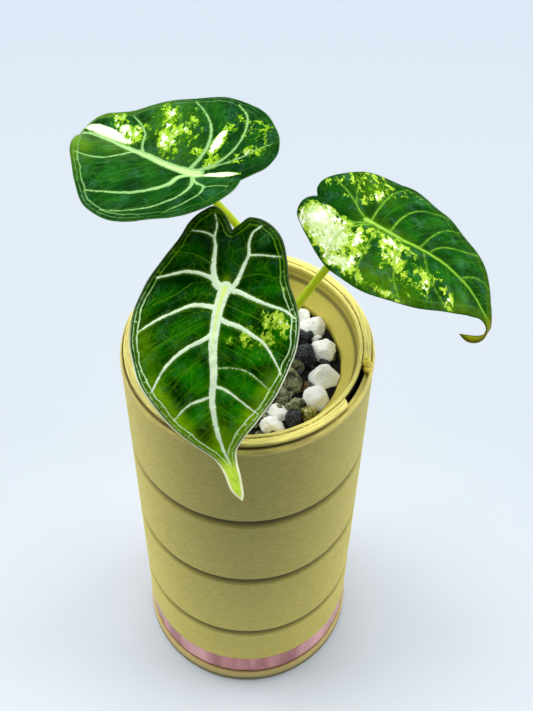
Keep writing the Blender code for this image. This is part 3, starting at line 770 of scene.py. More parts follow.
@dataclass(frozen=True)
class Profile:
    """Side view of a turned piece, as (radius, height) corners from inside to outside.

    `fillet` is the reach of the arc at a corner and `step` the longest step
    between points. A `closed` profile is a ring that doesn't touch the axis.
    """

    corners: Points
    fillet: float = 0.3
    step: float = 2.0
    closed: bool = False

    def line(self) -> Array:
        """Corners rounded off, and long runs split into even steps.

        Each corner becomes a short arc: a quadratic curve between the points that
        lie one fillet before and after it, or less where a run is short.

        Returns:
            The points, as (radius, height).
        """
        corners = np.asarray(self.corners, float)
        count = len(corners)
        out = []
        for index, corner in enumerate(corners):
            if not self.closed and index in (0, count - 1):
                out.append(corner[None, :])
                continue
            back, ahead = corners[index - 1] - corner, corners[(index + 1) % count] - corner
            far = [np.linalg.norm(back), np.linalg.norm(ahead)]
            size = min(self.fillet, ARC_SHARE * far[0], ARC_SHARE * far[1])
            first, last = corner + back / far[0] * size, corner + ahead / far[1] * size
            t = np.linspace(0.0, 1.0, ARC_POINTS)[:, None]
            out.append((1 - t) ** 2 * first + 2 * t * (1 - t) * corner + t**2 * last)
        knots = np.concatenate(out)
        if self.closed:
            knots = np.concatenate([knots, knots[:1]])
        parts = []
        for first, last in zip(knots[:-1], knots[1:]):
            pieces = max(1, math.ceil(np.linalg.norm(last - first) / self.step))
            parts.append(first + (last - first) * np.arange(pieces)[:, None] / pieces)
        return np.concatenate(parts if self.closed else [*parts, knots[-1:]])


class Shape:
    """Points in millimetres and faces of one piece, gathered part by part."""

    def __init__(self) -> None:
        """Start with no points."""
        self.points: list[Array] = []
        self.faces: list[Array] = []
        self.flat: list[Array] = []
        self.count = 0

    def add(self, points: Array, faces: Sequence[Array],
            flat: Array | None = None) -> None:
        """Add points and the faces between them.

        Args:
            points: positions in millimetres.
            faces: arrays of corners, three or four to a row, counted from these points.
            flat: UV position of each point, if the piece has a UV map.
        """
        self.points.append(points)
        self.faces += [block + self.count for block in faces]
        if flat is not None:
            self.flat.append(flat)
        self.count += len(points)

    def mesh(self, name: str, numbers: dict[str, Array] | None = None) -> bpy.types.Mesh:
        """Store everything in a mesh, in metres.

        Args:
            name: the mesh's name.
            numbers: named numbers, one for each point.

        Returns:
            The mesh, smooth-shaded.
        """
        mesh = bpy.data.meshes.new(name)
        points = np.concatenate(self.points) * MM
        loops = np.concatenate([block.ravel() for block in self.faces])
        sizes = np.concatenate([np.full(len(block), block.shape[1]) for block in self.faces])
        mesh.vertices.add(len(points))
        mesh.vertices.foreach_set("co", points.ravel())
        mesh.loops.add(len(loops))
        mesh.loops.foreach_set("vertex_index", loops.astype(np.int32))
        mesh.polygons.add(len(sizes))
        mesh.polygons.foreach_set("loop_start", (np.cumsum(sizes) - sizes).astype(np.int32))
        if self.flat:
            layer = mesh.uv_layers.new(name="flat")
            layer.data.foreach_set("uv", np.concatenate(self.flat)[loops].ravel())
        for key, values in (numbers or {}).items():
            mesh.attributes.new(key, "FLOAT", "POINT").data.foreach_set("value", values)
        mesh.update(calc_edges=True)
        mesh.shade_smooth()
        return mesh


def rows_of_quads(rows: int, columns: int, wrap: bool = False) -> Array:
    """Quads of a grid that closes across its columns.

    Args:
        rows: number of rows.
        columns: number of points in a row.
        wrap: whether the last row is joined to the first.

    Returns:
        Corners, four to a quad.
    """
    row = np.arange(rows if wrap else rows - 1)[:, None]
    column = np.arange(columns)[None, :]
    after, beside = (row + 1) % rows, (column + 1) % columns
    corners = [row * columns + column, after * columns + column, after * columns + beside,
               row * columns + beside]
    return np.stack(np.broadcast_arrays(*corners), axis=-1).reshape(-1, 4)


def cap(ring_start: int, columns: int, pole: int, first: bool) -> Array:
    """Triangles between a ring and its pole.

    Args:
        ring_start: number of the ring's first point.
        columns: number of points in the ring.
        pole: number of the pole.
        first: whether the pole comes before the ring, as at the start of a grid.

    Returns:
        Corners, three to a triangle.
    """
    here = ring_start + np.arange(columns)
    beside = ring_start + (np.arange(columns) + 1) % columns
    middle = np.full(columns, pole)
    return np.stack([middle, here, beside] if first else [here, middle, beside], axis=1)


def closed_faces(rows: int, columns: int) -> list[Array]:
    """Quads of a grid of rings, then the caps to its two poles, which are the two points after it."""
    return [rows_of_quads(rows, columns), cap(0, columns, rows * columns, first=True),
            cap((rows - 1) * columns, columns, rows * columns + 1, first=False)]


def soft_noise(points: Array, seed: float = 0.0) -> Array:
    """Smooth noise: a number for each corner of a unit cell, eased between corners.

    Args:
        points: positions, with x, y and z along the last axis.
        seed: gives other noise for the same positions.

    Returns:
        A number for each position, -1 to 1.
    """
    cell = np.floor(points)
    share = points - cell
    share = share * share * (3.0 - 2.0 * share)
    total = np.zeros(points.shape[:-1])
    for corner in np.ndindex(2, 2, 2):
        key = (cell + corner) @ CORNER_FACTORS + SEED_FACTOR * seed
        value = np.sin(key) * SCRAMBLE
        weight = np.prod(np.where(np.array(corner) == 1, share, 1.0 - share), axis=-1)
        total += weight * (2.0 * (value - np.floor(value)) - 1.0)
    return total


def smooth_value(knots: Points, at: Array) -> Array:
    """Cubic curve through knots.

    Args:
        knots: (position, value) of each, by rising position.
        at: positions to read the curve at; the end knots hold beyond the ends.

    Returns:
        The values.
    """
    knots = np.asarray(knots, float)
    place, value = knots[:, 0], knots[:, 1]
    slope = np.gradient(value, place)
    at = np.clip(np.asarray(at, float), place[0], place[-1])
    index = np.clip(np.searchsorted(place, at, side="right") - 1, 0, len(place) - 2)
    span = place[index + 1] - place[index]
    t = (at - place[index]) / span
    return ((2 * t**3 - 3 * t**2 + 1) * value[index] + (t**3 - 2 * t**2 + t) * span * slope[index]
            + (3 * t**2 - 2 * t**3) * value[index + 1] + (t**3 - t**2) * span * slope[index + 1])


def smooth_line(points: Points, step: float) -> Array:
    """Smooth curve through points.

    Args:
        points: the points, in two or three dimensions.
        step: about how far apart its own points are.

    Returns:
        The curve's even points.
    """
    points = np.asarray(points, float)
    run = np.concatenate(([0.0], np.cumsum(np.linalg.norm(np.diff(points, axis=0), axis=1))))
    count = max(2, int(round(run[-1] / step)) + 1)
    at = np.linspace(0.0, run[-1], count)
    lanes = range(points.shape[1])
    return np.stack([smooth_value(np.stack([run, points[:, k]], axis=1), at) for k in lanes], axis=1)


def line_distance(points: Array, line: Array, half: tuple[float, float] = (0.0, 0.0)
                  ) -> Pair:
    """Distance from flat points to a line, less the line's half width there.

    Args:
        points: flat positions, one to a row.
        line: corners of the line.
        half: half width at the line's start and at its end.

    Returns:
        The distance, negative inside the line, and the run along the line to the
        nearest spot.
    """
    start, step = line[:-1], np.diff(line, axis=0)
    size = np.linalg.norm(step, axis=1)
    run = np.concatenate(([0.0], np.cumsum(size)))
    gaps, runs = [], []
    for block in np.array_split(points, max(1, len(points) * len(start) // PAIRS_AT_ONCE)):
        away = block[:, None, :] - start[None]
        t = np.clip((away * step).sum(axis=2) / size**2, 0.0, 1.0)
        at = run[:-1] + t * size
        off = away - t[..., None] * step
        width = half[0] + (half[1] - half[0]) * (at / run[-1]) ** TAPER
        gap = np.hypot(off[..., 0], off[..., 1]) - width
        pick = gap.argmin(axis=1)[:, None]
        gaps.append(np.take_along_axis(gap, pick, axis=1)[:, 0])
        runs.append(np.take_along_axis(at, pick, axis=1)[:, 0])
    return np.concatenate(gaps), np.concatenate(runs)


@dataclass
class Assembly:
    """Pieces of one sub-assembly, kept in a collection of their own."""

    name: str
    group: bpy.types.Collection = field(init=False)

    def __post_init__(self) -> None:
        """Make the collection."""
        self.group = bpy.data.collections.new(self.name)
        bpy.context.scene.collection.children.link(self.group)

    def piece(self, mesh: bpy.types.Mesh, material: bpy.types.Material, slot: str, *nodes: str) -> None:
        """Show a mesh as a piece of the object.

        Args:
            mesh: the piece's mesh; the piece takes its name.
            material: its finish.
            slot: the name of the record's material slot; it is not used.
            nodes: the model's nodes that the piece stands for.
        """
        mesh.materials.append(material)
        item = bpy.data.objects.new(mesh.name, mesh)
        self.group.objects.link(item)
        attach(item, BODY)
        if nodes:
            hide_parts(*nodes)
        LOG.info("%s: %d points", item.name, len(mesh.vertices))


def lathe(profile: Profile, angles: Array, bend: Bend | None = None) -> Shape:
    """Turn a profile round the Z axis.

    Args:
        profile: the side view; an open one starts and ends on the axis.
        angles: directions of its columns, in radians.
        bend: changes the points before the turn, if given.

    Returns:
        The closed shape.
    """
    line = profile.line()
    ends = not profile.closed
    body = line[1:-1] if ends else line
    radius, angle = np.meshgrid(body[:, 0], angles, indexing="ij")
    height = np.repeat(body[:, 1][:, None], len(angles), axis=1)
    if bend is not None:
        radius, height = bend(radius, height, angle)
    points = np.stack([radius * np.cos(angle), radius * np.sin(angle), height], axis=-1).reshape(-1, 3)
    shape = Shape()
    if ends:
        poles = np.array([(0.0, 0.0, line[0, 1]), (0.0, 0.0, line[-1, 1])])
        shape.add(np.concatenate([points, poles]), closed_faces(len(body), len(angles)))
    else:
        shape.add(points, [rows_of_quads(len(body), len(angles), wrap=True)])
    return shape


def round_angles(count: int) -> Array:
    """Even directions round the axis."""
    return np.arange(count) * (2.0 * math.pi / count)


def round_place(angle: Array, size: float, height: Array, rise: float) -> Array:
    """Places to read noise at, seamless round the axis: `size` waves wide and a wave for each `rise`."""
    return np.stack([size * np.cos(angle), size * np.sin(angle), height / rise], axis=-1)


def cup_wall(height: Array | float) -> Array:
    """Radius of the cup's inner wall at a height: a slight taper, and the funnel on top."""
    return np.interp(height, (90.0, 188.8, 194.8), (30.0, 35.2, 39.9))


@dataclass
class Planter(Assembly):
    """Outer pot with its three grooves and its foot, and the rose band above the foot.

    Radii of the outer wall, the inner wall, the rebate that holds the cup and the
    ridge round the rim; the height of the rebate's ledge; and the heights of the
    grooves' lips.
    """

    wall: float = 47.0
    bore: float = 44.2
    ledge: float = 197.7
    rebate: float = 46.0
    ridge: float = 47.15
    grooves: tuple[float, ...] = (150.4, 102.8, 53.3)

    def groove_corners(self) -> list[tuple[float, float]]:
        """Outer side of the wall: each groove has a lip, a floor and a chamfer.

        Returns:
            Corners (radius, height) from top to bottom.
        """
        corners = []
        for lip in self.grooves:
            corners += [(self.wall, lip), (self.wall - 1.5, lip - 0.3), (self.wall - 1.5, lip - 2.4),
                        (self.wall, lip - 5.6)]
        return corners

    def build(self) -> None:
        """Build both pieces."""
        corners = [(0.0, 3.0), (self.bore - 1.5, 3.0), (self.bore, 4.5), (self.bore, self.ledge),
                   (self.rebate, self.ledge), (self.rebate, 198.3), (46.4, 198.3), (46.9, 197.5),
                   (self.ridge, 196.5), (self.ridge, 195.9), (self.wall, 195.5)]
        corners += self.groove_corners()
        corners += [(self.wall, 22.7), (45.6, 22.7), (45.6, 7.4), (47.2, 7.4), (47.7, 6.9), (47.7, 0.6),
                    (47.1, 0.0), (0.0, 0.0)]

        def sway(radius: Array, height: Array, angle: Array) -> Pair:
            """The wall leans in and out by a few hundredths, as printed walls do."""
            around = round_place(angle, 3.2, height, 34.0)
            return radius + 0.07 * soft_noise(around, 1.0) * (radius > 40.0), height

        pot = lathe(Profile(corners, fillet=0.45, step=3.4), round_angles(216), sway)
        # The second tone is the rim's, painted lighter by light from above; the deep tone and the crease
        # are painted shade, and the grooves get painted shade and highlights.
        khaki = PrintedPlastic("khaki_wall", (207, 193, 88), (226, 210, 112), 195.8,
                               (20.0, self.bore + 0.2, self.ledge - 0.1), grooves=self.grooves, foot=7.5,
                               creases=((self.rebate, self.ledge + 0.3, 0.7),)).make()
        self.piece(pot.mesh("pot_outer"), khaki, "khaki_print", "outer_pot")

        def wrinkle(radius: Array, height: Array, angle: Array) -> Pair:
            """Upright wrinkles: noise that changes fast round the pot and slowly with height."""
            depth = (0.16 * (soft_noise(round_place(angle, 15.0, height, 11.0), 2.0) - 1.0)
                     + 0.05 * soft_noise(round_place(angle, 38.0, height, 9.0), 3.0))
            return radius + depth * (radius > 46.5), height

        ring = [(45.9, 22.4), (46.6, 22.4), (46.9, 22.1), (46.9, 8.0), (46.6, 7.7), (45.9, 7.7)]
        band = lathe(Profile(ring, fillet=0.25, step=1.5, closed=True), round_angles(640), wrinkle)
        self.piece(band.mesh("band_rose"), RoseFoil().make(), "rose_foil", "rose_band")


@dataclass
class Cup(Assembly):
    """Cup in the rim: a floor, a funnel mouth, a flange with a gap for water, and drains.

    `seam` and `flange` are radii. The gap lies between two turns in degrees, with
    corners of the radius `corner` beside it, and the flange keeps a share of
    `thinnest` there. The drains stand at `drain_turns`, `drain_half` degrees to
    either side. Each melted lump has its turn, radius, height and size.
    """

    top: float = 200.7
    seam: float = 42.6
    flange: float = 45.6
    gap_from: float = -37.0
    gap_to: float = -13.0
    corner: float = 2.4
    thinnest: float = 0.03
    drain_turns: tuple[float, ...] = (30.0, 90.0, 150.0, 210.0, 270.0, 330.0)
    drain_half: float = 3.75
    drain_heights: tuple[float, float] = (94.0, 116.0)
    lumps: tuple[tuple[float, float, float, float], ...] = (
        (-11.2, 44.3, 200.1, 1.4), (-13.0, 44.6, 199.9, 1.7), (-15.3, 45.0, 199.0, 1.6))
    thread_points: int = 30
    thread_sides: int = 8
    thread_radius: float = 0.12

    def openness(self, angle: Array) -> Array:
        """Share of the flange's width: hardly any over the gap, with a round corner beside it.

        Args:
            angle: directions, in radians.

        Returns:
            The share in each direction.
        """
        degrees = (np.degrees(angle) + 180.0) % 360.0 - 180.0
        mm = math.radians(1.0) * self.flange
        before, after = (self.gap_from - degrees) * mm, (degrees - self.gap_to) * mm
        rag = 0.5 * soft_noise(np.stack([degrees * 1.3, 0 * degrees, 0 * degrees], axis=-1), 5.0)
        reach = np.where(before > 0.0, before, np.where(after > 0.0, after + rag * (after < 4.0), 0.0))
        share = np.clip(reach / self.corner, 0.0, 1.0)
        return np.maximum(np.sqrt(1.0 - (1.0 - share) ** 2), self.thinnest)

    def open_drains(self, cup: Shape, body: Array, angles: Array) -> None:
        """Open upright slots low in the wall.

        Both skins lose their quads there, and the rims of the two holes are joined.

        Args:
            cup: the turned cup, with nothing added to it yet.
            body: its rows, as (radius, height).
            angles: directions of its columns, in radians.
        """
        columns = len(angles)
        low, high = self.drain_heights
        within = (body[:, 1] > low - 0.01) & (body[:, 1] < high + 0.01)
        rising = np.arange(len(body)) < body[:, 1].argmax()
        inner, outer = np.flatnonzero(within & rising), np.flatnonzero(within & ~rising)[::-1]
        kept = np.ones((len(body) - 1, columns), bool)
        for middle in self.drain_turns:
            off = (np.degrees(angles) - middle + 180.0) % 360.0 - 180.0
            wide = np.flatnonzero(np.abs(off) < self.drain_half + 0.01)
            kept[np.ix_(inner[:-1], wide[:-1])] = False
            kept[np.ix_(outer[1:], wide[:-1])] = False
            first, second = (np.concatenate([rows[0] * columns + wide, rows[1:] * columns + wide[-1],
                                             rows[-1] * columns + wide[-2::-1],
                                             rows[-2:0:-1] * columns + wide[0]])
                             for rows in (inner, outer))
            cup.faces.append(np.stack([first, second, np.roll(second, -1), np.roll(first, -1)], axis=1))
        cup.faces[0] = cup.faces[0][kept.ravel()]

    def rough_end(self) -> Shape:
        """Melted lumps where the printed flange breaks off, and one loose thread across the gap.

        Returns:
            The lumps and the thread.
        """
        ends = Shape()
        directions, corners = ball(3)
        for degrees, radius, height, size in self.lumps:
            angle = math.radians(degrees)
            skin = 1.0 + 0.22 * soft_noise(directions * 1.7 + degrees, 4.0)
            lump = directions * skin[:, None] * (size, 1.15 * size, 0.8 * size)
            ends.add(lump + (radius * math.cos(angle), radius * math.sin(angle), height), [corners])
        t = np.linspace(0.0, 1.0, self.thread_points)
        angle = np.radians(-13.4 - 2.0 * t + 1.1 * t**4)
        radius = 44.3 - 1.7 * t
        sag = 200.2 - 2.0 * t * (1.0 - t)
        path = np.stack([radius * np.cos(angle), radius * np.sin(angle), sag], axis=1)
        turn = round_angles(self.thread_sides)
        side = np.stack([np.cos(turn), 0.0 * turn, np.sin(turn)], axis=1) * self.thread_radius
        points = np.concatenate([(path[:, None] + side).reshape(-1, 3), path[:1], path[-1:]])
        faces = closed_faces(self.thread_points, self.thread_sides)
        ends.add(points, [block[:, ::-1] for block in faces])
        return ends

    def build(self) -> None:
        """Build the cup."""
        top = self.top
        inner = [(float(cup_wall(height)), height) for height in self.drain_heights]
        outer = [(float(np.interp(height, (88.0, 187.6), (32.0, 37.2))), height)
                 for height in self.drain_heights[::-1]]
        corners = [(0.0, 90.0), (30.0, 90.0), *inner, (35.2, 188.8), (39.9, 194.8), (40.3, 195.3),
                   (40.8, 195.9), (41.0, top - 0.4), (41.4, top), (self.seam - 0.35, top),
                   (self.seam, top - 0.9), (self.seam + 0.35, top), (self.flange - 0.4, top),
                   (self.flange, top - 0.4), (self.flange, 197.9), (42.5, 197.9), (42.5, 194.3),
                   (37.2, 187.6), *outer, (32.0, 88.0), (0.0, 88.0)]

        def open_gap(radius: Array, height: Array, angle: Array) -> Pair:
            """Draw the flange back to the seam over the gap, and close the seam there.

            Args:
                radius: the points' radii.
                height: their heights.
                angle: their directions, in radians.

            Returns:
                The new radii and heights.
            """
            share = self.openness(angle)
            drawn = self.seam + (radius - self.seam) * share
            in_seam = (np.abs(radius - self.seam) < 0.3) & (height > top - 1.0)
            return (np.where(radius > self.seam, drawn, radius),
                    np.where(in_seam, top - (top - height) * share, height))

        degrees = [np.arange(0.0, 360.0, 1.875)]
        degrees += [np.arange(end - 5.0, end + 5.0, 0.2) % 360.0 for end in (self.gap_from, self.gap_to)]
        angles = np.radians(np.unique(np.round(np.concatenate(degrees), 3)))
        profile = Profile(corners, fillet=0.35, step=2.3)
        cup = lathe(profile, angles, open_gap)
        self.open_drains(cup, profile.line()[1:-1], angles)
        # The second tone is the rim's, painted lighter by light from above; the deep tone, the rings and
        # the crease are painted shade.
        khaki = PrintedPlastic("khaki_cup", (218, 203, 92), (238, 224, 124), 199.8,
                               (42.2, 43.1, 200.2), contrast=0.1, creases=((self.flange, 198.3, 1.75),),
                               rings=((195.2, 1.3, 0.8), (197.9, 1.0, 0.3)), seam=self.seam,
                               gap_middle=0.5 * (self.gap_from + self.gap_to))
        self.piece(cup.mesh("cup_hanging"), khaki.make(), "khaki_print", "insert_cup")
        # The melted lumps take the rim's tone, painted lighter by light from above, all over.
        melt = PrintedPlastic("khaki_melt", (238, 214, 84), (238, 214, 84), 190.0)
        self.piece(self.rough_end().mesh("cup_rough_end"), melt.make(), "khaki_print", "insert_cup")


def ball(subdivisions: int) -> Pair:
    """An even ball.

    Args:
        subdivisions: how fine it is.

    Returns:
        Directions of its points, and its triangles.
    """
    work = bmesh.new()
    bmesh.ops.create_icosphere(work, subdivisions=subdivisions, radius=1.0)
    mesh = bpy.data.meshes.new("ball")
    work.to_mesh(mesh)
    work.free()
    points = np.empty(3 * len(mesh.vertices))
    corners = np.empty(3 * len(mesh.polygons), int)
    mesh.vertices.foreach_get("co", points)
    mesh.polygons.foreach_get("vertices", corners)
    bpy.data.meshes.remove(mesh)
    return points.reshape(-1, 3), corners.reshape(-1, 3)


@dataclass(frozen=True)
class Grain:
    """One loose grain: centre in plan, its two widths and a turn in degrees."""

    x: float
    y: float
    width: float
    depth: float
    turn: float = 0.0
    kind: GrainKind = GrainKind.PUMICE


SEEN_GRAINS = (
    Grain(25.4, 17.0, 9.6, 9.8, 20), Grain(28.6, 4.2, 10.6, 8.2, -15), Grain(28.7, -7.0, 10.4, 9.4, 35),
    Grain(25.4, -17.0, 10.0, 9.0, -40), Grain(11.2, -23.4, 7.8, 7.0, 10), Grain(8.8, -29.2, 8.2, 6.0, 0),
    Grain(20.8, 22.0, 7.4, 8.2, 30), Grain(16.8, 27.2, 7.0, 6.6, 0),
    Grain(21.6, 3.0, 8.8, 10.4, 10, GrainKind.LAVA), Grain(16.6, -26.0, 6.6, 8.6, 15, GrainKind.LAVA),
    Grain(19.4, 11.6, 7.0, 7.0, 0, GrainKind.LAVA), Grain(16.4, -9.6, 6.8, 11.0, 10, GrainKind.ZEOLITE),
    Grain(13.0, -17.0, 5.8, 6.6, 0, GrainKind.ZEOLITE), Grain(21.6, -11.6, 4.6, 5.0, 0, GrainKind.BARK),
    Grain(22.6, -24.2, 6.2, 5.8, 25, GrainKind.CLAY), Grain(18.0, -1.2, 6.0, 6.4, 0, GrainKind.ZEOLITE),
)


@dataclass
class Bed(Assembly):
    """Bed of grit in the cup with loose grains and crumbs on top.

    The grit slopes from `centre_height` down to `edge_height` at the wall, at the
    radius `reach`; `floor` is its underside and `hole_floor` that of the crown's
    hole. It and the grains keep `clearance` from the wall, whose facets lie within
    `wall_facet` of its radius. A grain is cut by `planes` planes, with edges that
    are rounder the lower `sharpness` is.
    """

    crown_at: tuple[float, float] = CROWN_AT
    crown_radius: float = 7.0
    edge_height: float = 187.0
    centre_height: float = 188.2
    wall_facet: float = math.cos(math.pi / 48)
    clearance: float = 0.3
    floor: float = 90.3
    hole_floor: float = 173.7
    seed: int = 11
    tries: int = 2500
    crumbs: int = 170
    planes: int = 14
    sharpness: float = 8.0
    reach: float = 35.2
    grit_rings: int = 60
    grit_sides: int = 200

    def scatter(self, rng: np.random.Generator) -> list[Grain]:
        """The grains seen in front, then others dropped at random where there is room.

        Args:
            rng: gives the places, widths and turns.

        Returns:
            The grains.
        """
        grains = list(SEEN_GRAINS)
        kinds = np.random.default_rng(self.seed + 1)
        room = float(cup_wall(self.edge_height)) - self.clearance
        for _ in range(self.tries):
            width, depth = rng.uniform(6.0, 10.4, 2)
            radius = (room - width * 0.48) * math.sqrt(rng.uniform(0.0, 1.0))
            angle = rng.uniform(0.0, 2.0 * math.pi)
            x, y = radius * math.cos(angle), radius * math.sin(angle)
            own = 0.25 * (width + depth)
            clear = math.hypot(x - self.crown_at[0], y - self.crown_at[1]) > self.crown_radius + own + 0.8
            apart = all(math.hypot(x - g.x, y - g.y) > 0.8 * (own + 0.25 * (g.width + g.depth))
                        for g in grains)
            if clear and apart:
                kind = kinds.choice(list(GrainKind), p=(0.36, 0.3, 0.18, 0.09, 0.07))
                grains.append(Grain(x, y, width, depth, rng.uniform(0.0, 180.0), kind))
        return grains

    def pebble(self, directions: Array, rng: np.random.Generator) -> Array:
        """Radius of a worn lump in each direction.

        A lump is the space behind a dozen random planes. The radius is a soft
        maximum of the planes' pulls, so that its edges come out rounded, and noise
        makes its skin uneven.

        Args:
            directions: unit vectors.
            rng: gives the planes and the noise.

        Returns:
            The radii, about 1.
        """
        normals = rng.normal(size=(self.planes, 3))
        normals /= np.linalg.norm(normals, axis=1)[:, None]
        pull = np.clip(directions @ normals.T, 0.0, None) / rng.uniform(0.82, 1.0, self.planes)
        radius = (pull**self.sharpness).sum(axis=1) ** (-1.0 / self.sharpness)
        radius = np.clip(radius / np.median(radius), 0.8, 1.2)
        shift = rng.uniform(-50.0, 50.0, 3)
        skin = 0.05 * soft_noise(directions * 2.4 + shift, 1.0)
        skin += 0.028 * soft_noise(directions * 6.5 + shift, 2.0)
        return radius + skin + 0.013 * soft_noise(directions * 15.0 + shift, 3.0)

    def lump(self, grain: Grain, height: float, directions: Array,
             rng: np.random.Generator) -> Array:
        """Points of one grain, pressed in where the cup's wall stands.

        Args:
            grain: its place, widths and turn.
            height: the height of its middle.
            directions: unit vectors, one for each point.
            rng: gives its form.

        Returns:
            The points.
        """
        thick = 0.5 * (grain.width + grain.depth) * 0.45
        points = directions * (grain.width / 2, grain.depth / 2, thick)
        points *= self.pebble(directions, rng)[:, None]
        turn = math.radians(grain.turn)
        cos, sin = math.cos(turn), math.sin(turn)
        spin = np.array([(cos, -sin, 0), (sin, cos, 0), (0, 0, 1)])
        points = points @ spin.T + (grain.x, grain.y, height)
        reach = np.hypot(points[:, 0], points[:, 1])
        room = cup_wall(points[:, 2]) * self.wall_facet - self.clearance
        points[:, :2] *= np.minimum(1.0, room / reach)[:, None]
        return points

    def surface(self, x: float, y: float) -> float:
        """Height of the grit at a spot."""
        share = math.hypot(x, y) / self.reach
        return self.centre_height + share * (self.edge_height - self.centre_height)

    def grit(self) -> Shape:
        """The body of the bed: rings that run from the crown's hole to the cup's wall and down.

        Returns:
            The closed shape.
        """
        hole = self.crown_radius + self.clearance
        wall = float(cup_wall(self.edge_height)) - self.clearance
        low = float(cup_wall(self.floor)) - 0.35
        share = np.linspace(0.0, 1.0, self.grit_rings)[1:]
        fall = self.edge_height - self.centre_height
        # Radius, height and how far the ring is shifted towards the crown
        top = [(hole + (wall - hole) * s, self.centre_height + s * fall, 1.0 - s) for s in share]
        body = np.array([(hole, self.hole_floor, 1.0), (hole, self.centre_height, 1.0), *top,
                         (low, self.floor, 0.0)])
        angles = round_angles(self.grit_sides)
        radius, angle = np.meshgrid(body[:, 0], angles, indexing="ij")
        x = radius * np.cos(angle) + body[:, 2][:, None] * self.crown_at[0]
        y = radius * np.sin(angle) + body[:, 2][:, None] * self.crown_at[1]
        z = np.repeat(body[:, 1][:, None], len(angles), axis=1)
        rough = soft_noise(np.stack([x, y, z], axis=-1) * 0.55, 4.0) * 0.9
        rough += soft_noise(np.stack([x, y, z], axis=-1) * 1.4, 5.0) * 0.4
        inside = (radius > hole + 0.5) & (radius < wall - 0.4)
        points = np.stack([x, y, z + np.where(inside, rough - 0.5, 0.0)], axis=-1).reshape(-1, 3)
        poles = np.array([(*self.crown_at, self.hole_floor), (0.0, 0.0, self.floor)])
        shape = Shape()
        shape.add(np.concatenate([points, poles]), closed_faces(len(body), len(angles)))
        return shape

    def build(self) -> None:
        """Build the grit, the grains and the crumbs."""
        # The grit is painted near black, as shade between the grains.
        self.piece(self.grit().mesh("bed_grit"), BedShade().make(), "mineral_grains", "substrate")
        fine, middle, coarse = ball(5), ball(4), ball(3)
        heaps = {kind: Shape() for kind in GrainKind}
        rng, skins = np.random.default_rng(self.seed), np.random.default_rng(self.seed + 2)
        for index, grain in enumerate(self.scatter(rng)):
            height = self.surface(grain.x, grain.y) + 0.6 + rng.uniform(-0.7, 0.7)
            # Three draws are passed over, so that each grain keeps its height
            rng.uniform(-50.0, 50.0, 3)
            directions, corners = fine if index < len(SEEN_GRAINS) else middle
            heaps[grain.kind].add(self.lump(grain, height, directions, skins), [corners])
        directions, corners = coarse
        for _ in range(self.crumbs):
            radius, angle = 33.0 * math.sqrt(skins.uniform()), skins.uniform(0.0, 2.0 * math.pi)
            x, y = radius * math.cos(angle), radius * math.sin(angle)
            if math.hypot(x - self.crown_at[0], y - self.crown_at[1]) < self.crown_radius + 1.5:
                continue
            width, depth = skins.uniform(1.6, 4.2, 2)
            kind = skins.choice(list(GrainKind), p=(0.08, 0.5, 0.26, 0.06, 0.1))
            crumb = Grain(x, y, width, depth, skins.uniform(0.0, 180.0), kind)
            height = self.surface(x, y) + skins.uniform(0.2, 1.6)
            heaps[kind].add(self.lump(crumb, height, directions, skins), [corners])
        for kind, heap in heaps.items():
            self.piece(heap.mesh(f"grains_{kind.name.lower()}"), Mineral(kind).make(), "mineral_grains",
                       "substrate")


@dataclass(frozen=True)
class Vein:
    """One vein in flat millimetres, with its half width at both ends."""

    points: Points
    start: float = 0.8
    end: float = 0.35


@dataclass(frozen=True)
class Spot:
    """A soft patch in flat millimetres: its middle, its length and width, a turn and a strength."""

    x: float
    v: float
    length: float
    width: float
    turn: float = 0.0
    strength: float = 1.0
    crisp: bool = False

    def share(self, x: Array, v: Array) -> Array:
        """Strength, which falls off like a bell, or over a narrow border if `crisp`.

        Args:
            x: flat positions along the midrib.
            v: flat positions across it.

        Returns:
            The strength at each.
        """
        turn = math.radians(self.turn)
        along = (x - self.x) * math.cos(turn) + (v - self.v) * math.sin(turn)
        across = (v - self.v) * math.cos(turn) - (x - self.x) * math.sin(turn)
        off = (along / self.length) ** 2 + (across / self.width) ** 2
        return self.strength * (np.clip((1.3 - off) / 0.8, 0.0, 1.0) if self.crisp else np.exp(-off))


@dataclass(frozen=True)
class Leaf:
    """One leaf: where its petiole starts and ends, how its blade lies and how it is veined.

    The blade is drawn flat, with x along the midrib from the petiole's joint to
    the tip and v across it, positive to the left of someone looking to the tip.
    The flat blade is then bent: the midrib slopes down by `pitch` at the joint
    and by `bend` degrees more for each millimetre, and past `curl_from` by `curl`
    more, up to a slope of `curl_limit`. The blade turns about its midrib by `roll`,
    and by `twist` more for each millimetre.
    `bend_back` and `fold_back` hold for the lobes behind the joint. Each side rises
    from the midrib in a fold that levels out over `fold_width`, and droops with the
    square of the distance. `spine` shifts the midrib sideways. The petiole stands at
    `base` beside the crown's middle, leaves it along `lean` for about `rise`, and
    meets the blade along `arrival` for about `approach`. `light` is the light share
    between the veins at the joint, and how it changes with x and v; the change is
    painted light and shade across the blade. `rim_right` is the strength of the
    right margin's veins, and the tip pales over `pale_tip`.
    """

    name: str
    joint: tuple[float, float, float]
    heading: float
    pitch: float
    bend: float
    bend_back: float
    curl_from: float
    curl: float
    curl_limit: float
    roll: float
    twist: float
    fold: float
    fold_back: float
    fold_width: float
    droop_left: float
    droop_right: float
    spine: Points
    left: Points
    right: Points
    tip: float
    base: tuple[float, float]
    rise: float
    lean: tuple[float, float]
    approach: float
    arrival: tuple[float, float, float]
    palette: LeafPalette
    veins: tuple[Vein, ...]
    thin_veins: tuple[Points, ...] = ()
    pale: tuple[Spot, ...] = ()
    glow: tuple[Spot, ...] = ()
    light: tuple[float, float, float] = (0.3, 0.008, 0.0)
    rim_right: float = 1.0
    pale_tip: tuple[float, float] = (56.0, 62.0)


